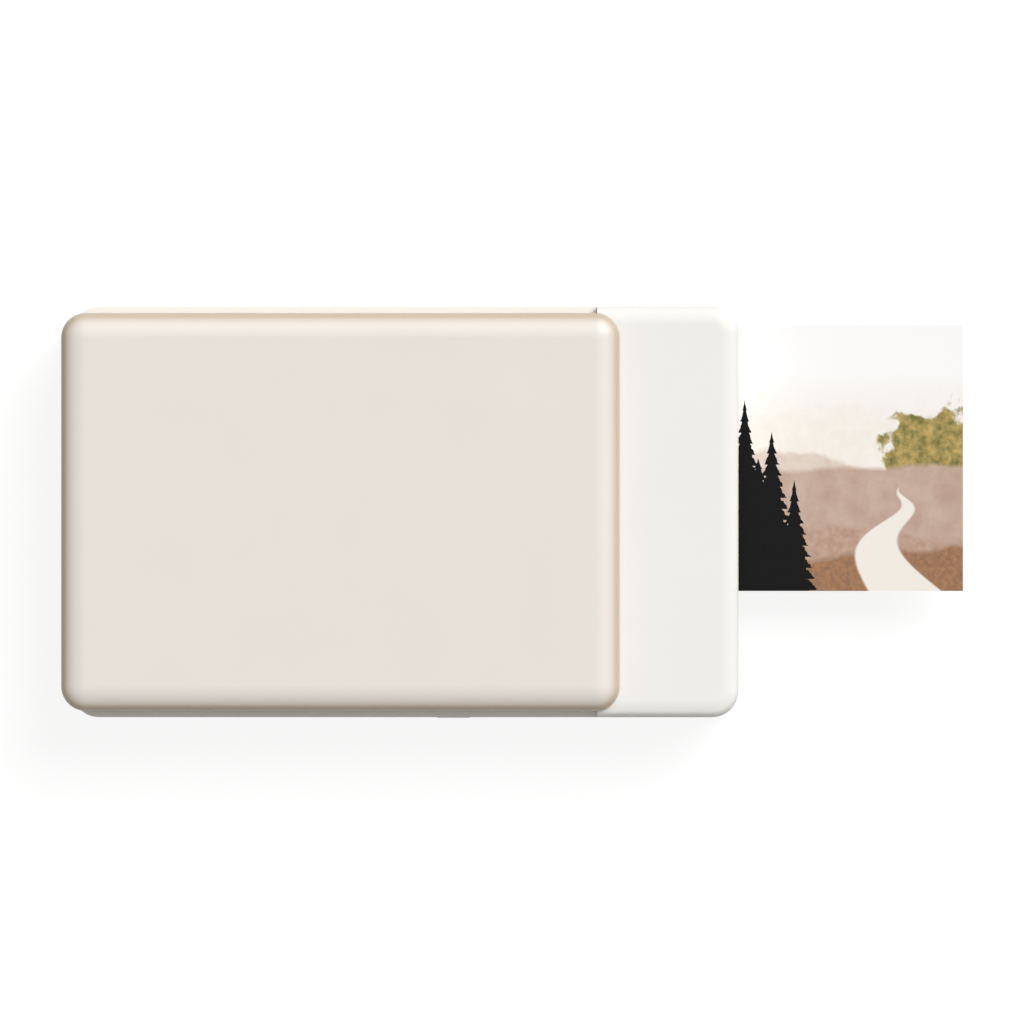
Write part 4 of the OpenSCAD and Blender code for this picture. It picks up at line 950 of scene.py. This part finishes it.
@dataclass
class Screws:
    """Cross-head screws: three long ones up through the base, four short ones down into it."""

    sets: tuple[ScrewSet, ...] = (
        ScrewSet("case_screw_set", "case_screws", ((-56, -31, 3.4), (-57.5, 31, 3.4), (56.5, -31.5, 3.4)),
                 turned_over=True, head_r=1.9, head_h=1.2, core_r=0.76, length=10.29, thread=0.12, turns=14.0,
                 cross=2.2, recess=0.6),
        ScrewSet("mechanism_screw_set", "mechanism_screws",
                 ((36.0023, -14.5, 5.41), (36.0023, 32.9, 5.41), (56.0023, -14.5, 5.41),
                  (56.0023, 32.9, 5.41)),
                 turned_over=False, head_r=1.5, head_h=0.8, core_r=0.58, length=3.61, thread=0.1, turns=6.0,
                 cross=1.8, recess=0.45),
    )
    arm: float = 0.5
    core_sides: int = 24
    head_sides: int = 40
    thread_sides: int = 4
    thread_share: float = 0.94
    dome_steps: int = 14
    dome: tuple[tuple[float, float], ...] = (
        (0, 0.97), (0.1, 1.0), (0.45, 1.0), (0.75, 0.95), (0.92, 0.82), (1, 0.66))

    def recipe(self, name: str, turned_over: bool) -> Recipe:
        """Builds the tree of a screw: a domed head with a cross recess, a core and a rolled thread.

        Args:
            name: The tree's name.
            turned_over: True for a head that faces down.

        Returns:
            The recipe, which puts a screw with its seat at each point.
        """
        made = Recipe(name, {"Head radius": 0.002, "Head height": 0.001, "Core radius": 0.0007,
                             "Length": 0.006, "Thread depth": 0.0001, "Turns": 10.0, "Cross": 0.002,
                             "Recess": 0.0006})
        tree, given = made.tree, made.given
        core = add(tree, "GeometryNodeMeshCylinder", {"Vertices": self.core_sides,
            "Radius": given["Core radius"], "Depth": given["Length"]})
        half = add(tree, "ShaderNodeMath", {0: given["Length"], 1: -0.5}, operation="MULTIPLY")
        down = add(tree, "ShaderNodeCombineXYZ", {2: half.outputs[0]})
        shank = add(tree, "GeometryNodeTransform", {"Geometry": core.outputs[0],
            "Translation": down.outputs[0]})
        fall = add(tree, "ShaderNodeMath", {0: given["Length"], 1: -self.thread_share}, operation="MULTIPLY")
        helix = add(tree, "GeometryNodeCurveSpiral", {"Resolution": self.core_sides,
            "Rotations": given["Turns"], "Start Radius": given["Core radius"],
            "End Radius": given["Core radius"], "Height": fall.outputs[0]})
        ridge = add(tree, "GeometryNodeCurvePrimitiveCircle", {"Resolution": self.thread_sides,
            "Radius": given["Thread depth"]})
        thread = add(tree, "GeometryNodeCurveToMesh", {"Curve": helix.outputs[0],
            "Profile Curve": ridge.outputs[0], "Fill Caps": True})
        top = add(tree, "ShaderNodeCombineXYZ", {2: given["Head height"]})
        axis = add(tree, "GeometryNodeCurvePrimitiveLine", {"End": top.outputs[0]})
        fine = add(tree, "GeometryNodeResampleCurve", {"Curve": axis.outputs[0], "Count": self.dome_steps})
        along = add(tree, "GeometryNodeSplineParameter")
        dome = add(tree, "ShaderNodeFloatCurve", {"Value": along.outputs["Factor"]})
        line = dome.mapping.curves[0]
        line.points[0].location = self.dome[0]
        line.points[1].location = self.dome[-1]
        for spot in self.dome[1:-1]:
            line.points.new(*spot)
        dome.mapping.update()
        rim = add(tree, "ShaderNodeMath", {0: dome.outputs[0], 1: given["Head radius"]}, operation="MULTIPLY")
        ring = add(tree, "GeometryNodeCurvePrimitiveCircle", {"Resolution": self.head_sides, "Radius": 1.0})
        head = add(tree, "GeometryNodeCurveToMesh", {"Curve": fine.outputs[0],
            "Profile Curve": ring.outputs[0], "Scale": rim.outputs[0], "Fill Caps": True})
        deep = add(tree, "ShaderNodeMath", {0: given["Recess"], 1: 2.0}, operation="MULTIPLY")
        long_arm = add(tree, "ShaderNodeCombineXYZ", {0: given["Cross"], 1: self.arm * MM,
            2: deep.outputs[0]})
        wide_arm = add(tree, "ShaderNodeCombineXYZ", {0: self.arm * MM, 1: given["Cross"],
            2: deep.outputs[0]})
        bars = [add(tree, "GeometryNodeMeshCube", {"Size": size.outputs[0]}) for size in (long_arm, wide_arm)]
        moved = [add(tree, "GeometryNodeTransform", {"Geometry": bar.outputs[0],
                                                     "Translation": top.outputs[0]}).outputs[0]
                 for bar in bars]
        cut = add(tree, "GeometryNodeMeshBoolean", {"Mesh 1": head.outputs[0], "Mesh 2": moved},
            operation="DIFFERENCE", solver="EXACT")
        parts = [thread.outputs[0], shank.outputs[0], cut.outputs[0]]
        whole = add(tree, "GeometryNodeJoinGeometry", {0: parts})
        turn = (math.pi if turned_over else 0.0, 0.0, 0.0)
        placed = add(tree, "GeometryNodeInstanceOnPoints", {"Points": given["Geometry"],
            "Instance": whole.outputs[0], "Rotation": turn})
        made.close(placed.outputs[0], False, "screw_steel")
        return made

    def build(self) -> None:
        """Builds both sets of screws."""
        for kind in self.sets:
            sizes = {"Head radius": kind.head_r * MM, "Head height": kind.head_h * MM,
                     "Core radius": kind.core_r * MM, "Length": kind.length * MM,
                     "Thread depth": kind.thread * MM, "Turns": kind.turns, "Cross": kind.cross * MM,
                     "Recess": kind.recess * MM}
            made = self.recipe(kind.name, kind.turned_over)
            stand_in(made.run(kind.name, list(kind.at), [], sizes), kind.node)


@dataclass
class Leads:
    """The battery's and the motor's insulated leads, each pair on its own route, in millimetres."""

    wire_r: float = 0.4
    bend_r: float = 1.2
    wire_sides: int = 14
    bend_steps: int = 6
    battery_x: tuple[float, ...] = (-26.0, -24.2)
    battery_steps: tuple[tuple[float, float, float], ...] = (
        (0, -21.69, 5.4), (0, -20.5, 5.4), (0, -18.5, 5.0), (3, -15.5, 4.2), (3, -8.86, 4.2))
    motor_x: float = 38.0626
    motor_y: float = -35.15
    motor_z: tuple[float, ...] = (6.208, 8.608)
    motor_out: tuple[float, ...] = (0.2, -2, -6)
    motor_fall: float = 1.5
    pad_y: tuple[float, ...] = (-33.5, -32.2)
    board_x1: float = 26.0044
    solder_z: float = 4.81
    board_in: tuple[float, ...] = (0.4, -0.4, -1.8)
    board_hop: float = 0.3

    def recipe(self, slot: str) -> Recipe:
        """Builds the tree: the route's corners rounded and swept by the wire.

        Args:
            slot: The record's material slot of the insulation.

        Returns:
            The recipe, which sweeps a lead along each chain of edges.
        """
        made = Recipe("lead", {"Wire radius": 0.0004, "Bend radius": 0.0008})
        tree, given = made.tree, made.given
        path = add(tree, "GeometryNodeMeshToCurve", {"Mesh": given["Geometry"]})
        bent = add(tree, "GeometryNodeFilletCurve", {"Curve": path.outputs[0], "Radius": given["Bend radius"],
            "Limit Radius": True, "Count": self.bend_steps}, mode="POLY")
        section = add(tree, "GeometryNodeCurvePrimitiveCircle", {"Resolution": self.wire_sides,
            "Radius": given["Wire radius"]})
        swept = add(tree, "GeometryNodeCurveToMesh", {"Curve": bent.outputs[0],
            "Profile Curve": section.outputs[0], "Fill Caps": True})
        made.close(swept.outputs[0], True, slot)
        return made

    def battery_routes(self) -> list[list[tuple]]:
        """Gives one list of points for each lead, from the plug on the board to the edge of the cell."""
        return [[(x + aside, y, z) for aside, y, z in self.battery_steps] for x in self.battery_x]

    def motor_routes(self) -> list[list[tuple]]:
        """Gives the routes from the motor's end cap to its two solder pads.

        Returns:
            One list of points for each lead.
        """
        x, y = self.motor_x, self.motor_y
        routes = []
        for pad_y, z in zip(self.pad_y, self.motor_z):
            routes.append([(x + self.motor_out[0], y, z), (x + self.motor_out[1], y, z),
                           (x + self.motor_out[2], (y + pad_y) / 2, z - self.motor_fall),
                           (self.board_x1 + self.board_in[0], pad_y, self.solder_z + self.board_hop),
                           (self.board_x1 + self.board_in[1], pad_y, self.solder_z),
                           (self.board_x1 + self.board_in[2], pad_y, self.solder_z)])
        return routes

    def build(self) -> None:
        """Builds both pairs of leads."""
        for name, node, slot, routes in (
            ("battery_leads", "battery_wires", "wire_red", self.battery_routes()),
            ("motor_leads", "motor_wires", "wire_black", self.motor_routes()),
        ):
            points = [p for route in routes for p in route]
            ends = [i * len(routes[0]) - 1 for i in (1, 2)]
            edges = [(i, i + 1) for i in range(ends[1]) if i != ends[0]]
            sizes = {"Wire radius": self.wire_r * MM, "Bend radius": self.bend_r * MM}
            stand_in(self.recipe(slot).run(name, points, edges, sizes), node)


@dataclass
class HeadCable:
    """The thermal head's flat cable: in the printer its upright end goes up with the head, but here it is one
    piece that stays in place.

    Lengths are in millimetres. The share that would follow the head grows downwards on the upright end, and
    falls by the lean for each millimetre towards the front.
    """

    upright_y: float = -16.225
    top_z: float = 18.4
    low_z: float = 14.32
    lean: float = 0.4

    def build(self) -> None:
        """Builds the cable as one fixed piece."""
        cable = Moulding("head_flat_cable", "head_ribbon", "ribbon_film").build()
        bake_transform(cable)
        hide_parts("head_ribbon")
        log.info("%s: %d faces, for head_ribbon", cable.name, len(cable.data.polygons))


@dataclass
class Mechanism:
    """Every CAD node whose shape is right as it is, dressed in the finish of its own slot."""

    done: set[str] = field(default_factory=set)

    def dress(self) -> None:
        """Gives each CAD node the material of its slot."""
        for name, node in frame["nodes"].items():
            for place in node.material_slots:
                slot = place.material.name.split(".")[0]
                if slot in FINISHES:
                    place.material = material_of(slot)
                    self.done.add(name)
        log.info("dressed %d CAD nodes of %d", len(self.done), len(frame["nodes"]))


@dataclass(frozen=True)
class Lamp:
    """A soft lamp far away: its light on a face that looks at it, and where it stands and how wide it looks.

    Angles are in degrees. The azimuth goes from +X towards +Y, and the height is above the horizon.
    """

    name: str
    strength: float
    angle: float
    azimuth: float
    height: float


@dataclass
class Studio:
    """The pale floor, the soft lamps and the camera straight above."""

    view_mm: float = 192.5
    centre_mm: tuple[float, float] = (20.02, 0.0)
    focus_mm: float = 12.0
    camera_z: float = 3.0
    sensor_mm: float = 36.0
    clip_m: tuple[float, float] = (0.1, 20)
    lamps: tuple[Lamp, ...] = (Lamp("key", 2.68, 40, 52, 44), Lamp("overhead", 0.6, 100, 0, 90))
    sky: float = 0.16
    sky_tint: str = "#FFF8F0"
    floor_half: float = 4.0
    floor_drop_mm: float = 0.02
    seen_pale: float = 0.2
    seen_glow: float = 0.86
    lit_pale: float = 0.3
    lit_glow: float = 0.12

    def seen_rays(self, tree: Tree) -> Socket:
        """Adds up the rays that look at the background: from the camera, and through gloss or glass.

        Args:
            tree: The floor's or the world's tree.

        Returns:
            An output of one for such rays, and zero for those that only carry light.
        """
        rays = add(tree, "ShaderNodeLightPath")
        total = rays.outputs["Is Camera Ray"]
        for other in ("Is Glossy Ray", "Is Transmission Ray"):
            total = add(tree, "ShaderNodeMath", {0: total, 1: rays.outputs[other]},
                operation="MAXIMUM").outputs[0]
        return total

    def floor(self) -> None:
        """Lays the floor, which is white where it is lit, keeps the shadow, and is clear from below.

        It lies a hair under the object, so that its plane never meets the underside.
        """
        mesh = bpy.data.meshes.new("floor")
        half = self.floor_half
        low = -self.floor_drop_mm * MM
        corners = [(-half, -half, low), (half, -half, low), (half, half, low), (-half, half, low)]
        mesh.from_pydata(corners, [], [(0, 1, 2, 3)])
        made = bpy.data.materials.new("plain pale floor")
        made.use_nodes = True
        tree = made.node_tree
        tree.nodes.clear()
        pale = add(tree, "ShaderNodeBsdfDiffuse", {"Color": (self.seen_pale,) * 3 + (1,)})
        glow = add(tree, "ShaderNodeEmission", {"Color": WHITE, "Strength": self.seen_glow})
        seen = add(tree, "ShaderNodeAddShader", {0: pale.outputs[0], 1: glow.outputs[0]})
        lit = add(tree, "ShaderNodeBsdfDiffuse", {"Color": (self.lit_pale,) * 3 + (1,)})
        faint = add(tree, "ShaderNodeEmission", {"Color": WHITE, "Strength": self.lit_glow})
        plain = add(tree, "ShaderNodeAddShader", {0: lit.outputs[0], 1: faint.outputs[0]})
        either = add(tree, "ShaderNodeMixShader", {0: self.seen_rays(tree), 1: plain.outputs[0],
            2: seen.outputs[0]})
        under = add(tree, "ShaderNodeNewGeometry").outputs["Backfacing"]
        clear = add(tree, "ShaderNodeBsdfTransparent")
        ends = add(tree, "ShaderNodeMixShader", {0: under, 1: either.outputs[0], 2: clear.outputs[0]})
        add(tree, "ShaderNodeOutputMaterial", {"Surface": ends.outputs[0]})
        mesh.materials.append(made)
        new_object("floor", mesh)

    def hang(self, lamp: Lamp) -> None:
        """Hangs one lamp.

        Args:
            lamp: Which lamp.
        """
        data = bpy.data.lights.new(lamp.name, "SUN")
        data.energy = lamp.strength
        data.angle = math.radians(lamp.angle)
        made = bpy.data.objects.new(lamp.name, data)
        made.rotation_euler = (0, math.radians(90 - lamp.height), math.radians(lamp.azimuth))
        bpy.context.scene.collection.objects.link(made)

    def world(self) -> None:
        """Fills the scene with an even pale sky, which looks white to the camera."""
        made = bpy.data.worlds.new("plain sky")
        bpy.context.scene.world = made
        made.use_nodes = True
        tree = made.node_tree
        tree.nodes.clear()
        dim = add(tree, "ShaderNodeBackground", {"Color": linear(self.sky_tint), "Strength": self.sky})
        white = add(tree, "ShaderNodeBackground", {"Color": WHITE, "Strength": 1.0})
        either = add(tree, "ShaderNodeMixShader", {0: self.seen_rays(tree), 1: dim.outputs[0],
            2: white.outputs[0]})
        add(tree, "ShaderNodeOutputWorld", {"Surface": either.outputs[0]})

    def camera(self) -> None:
        """Hangs the camera over the object, looking straight down with the print on the right."""
        data = bpy.data.cameras.new("camera")
        data.sensor_width = self.sensor_mm
        data.lens = self.sensor_mm * (self.camera_z - self.focus_mm * MM) / (self.view_mm * MM)
        data.clip_start, data.clip_end = self.clip_m
        camera = bpy.data.objects.new("camera", data)
        camera.location = (self.centre_mm[0] * MM, self.centre_mm[1] * MM, self.camera_z)
        bpy.context.scene.collection.objects.link(camera)
        bpy.context.scene.camera = camera

    def build(self) -> None:
        """Sets up floor, lamps, sky and camera."""
        bpy.context.scene.view_settings.view_transform = "Standard"
        self.floor()
        for lamp in self.lamps:
            self.hang(lamp)
        self.world()
        self.camera()


def main() -> None:
    """Builds the studio and every sub-assembly."""
    logging.basicConfig(level=logging.INFO, format="%(name)s: %(message)s")
    Studio().build()
    Casing().build()
    Springs().build()
    Screws().build()
    Leads().build()
    HeadCable().build()
    Mechanism().dress()


if __name__ == "__main__":
    main()
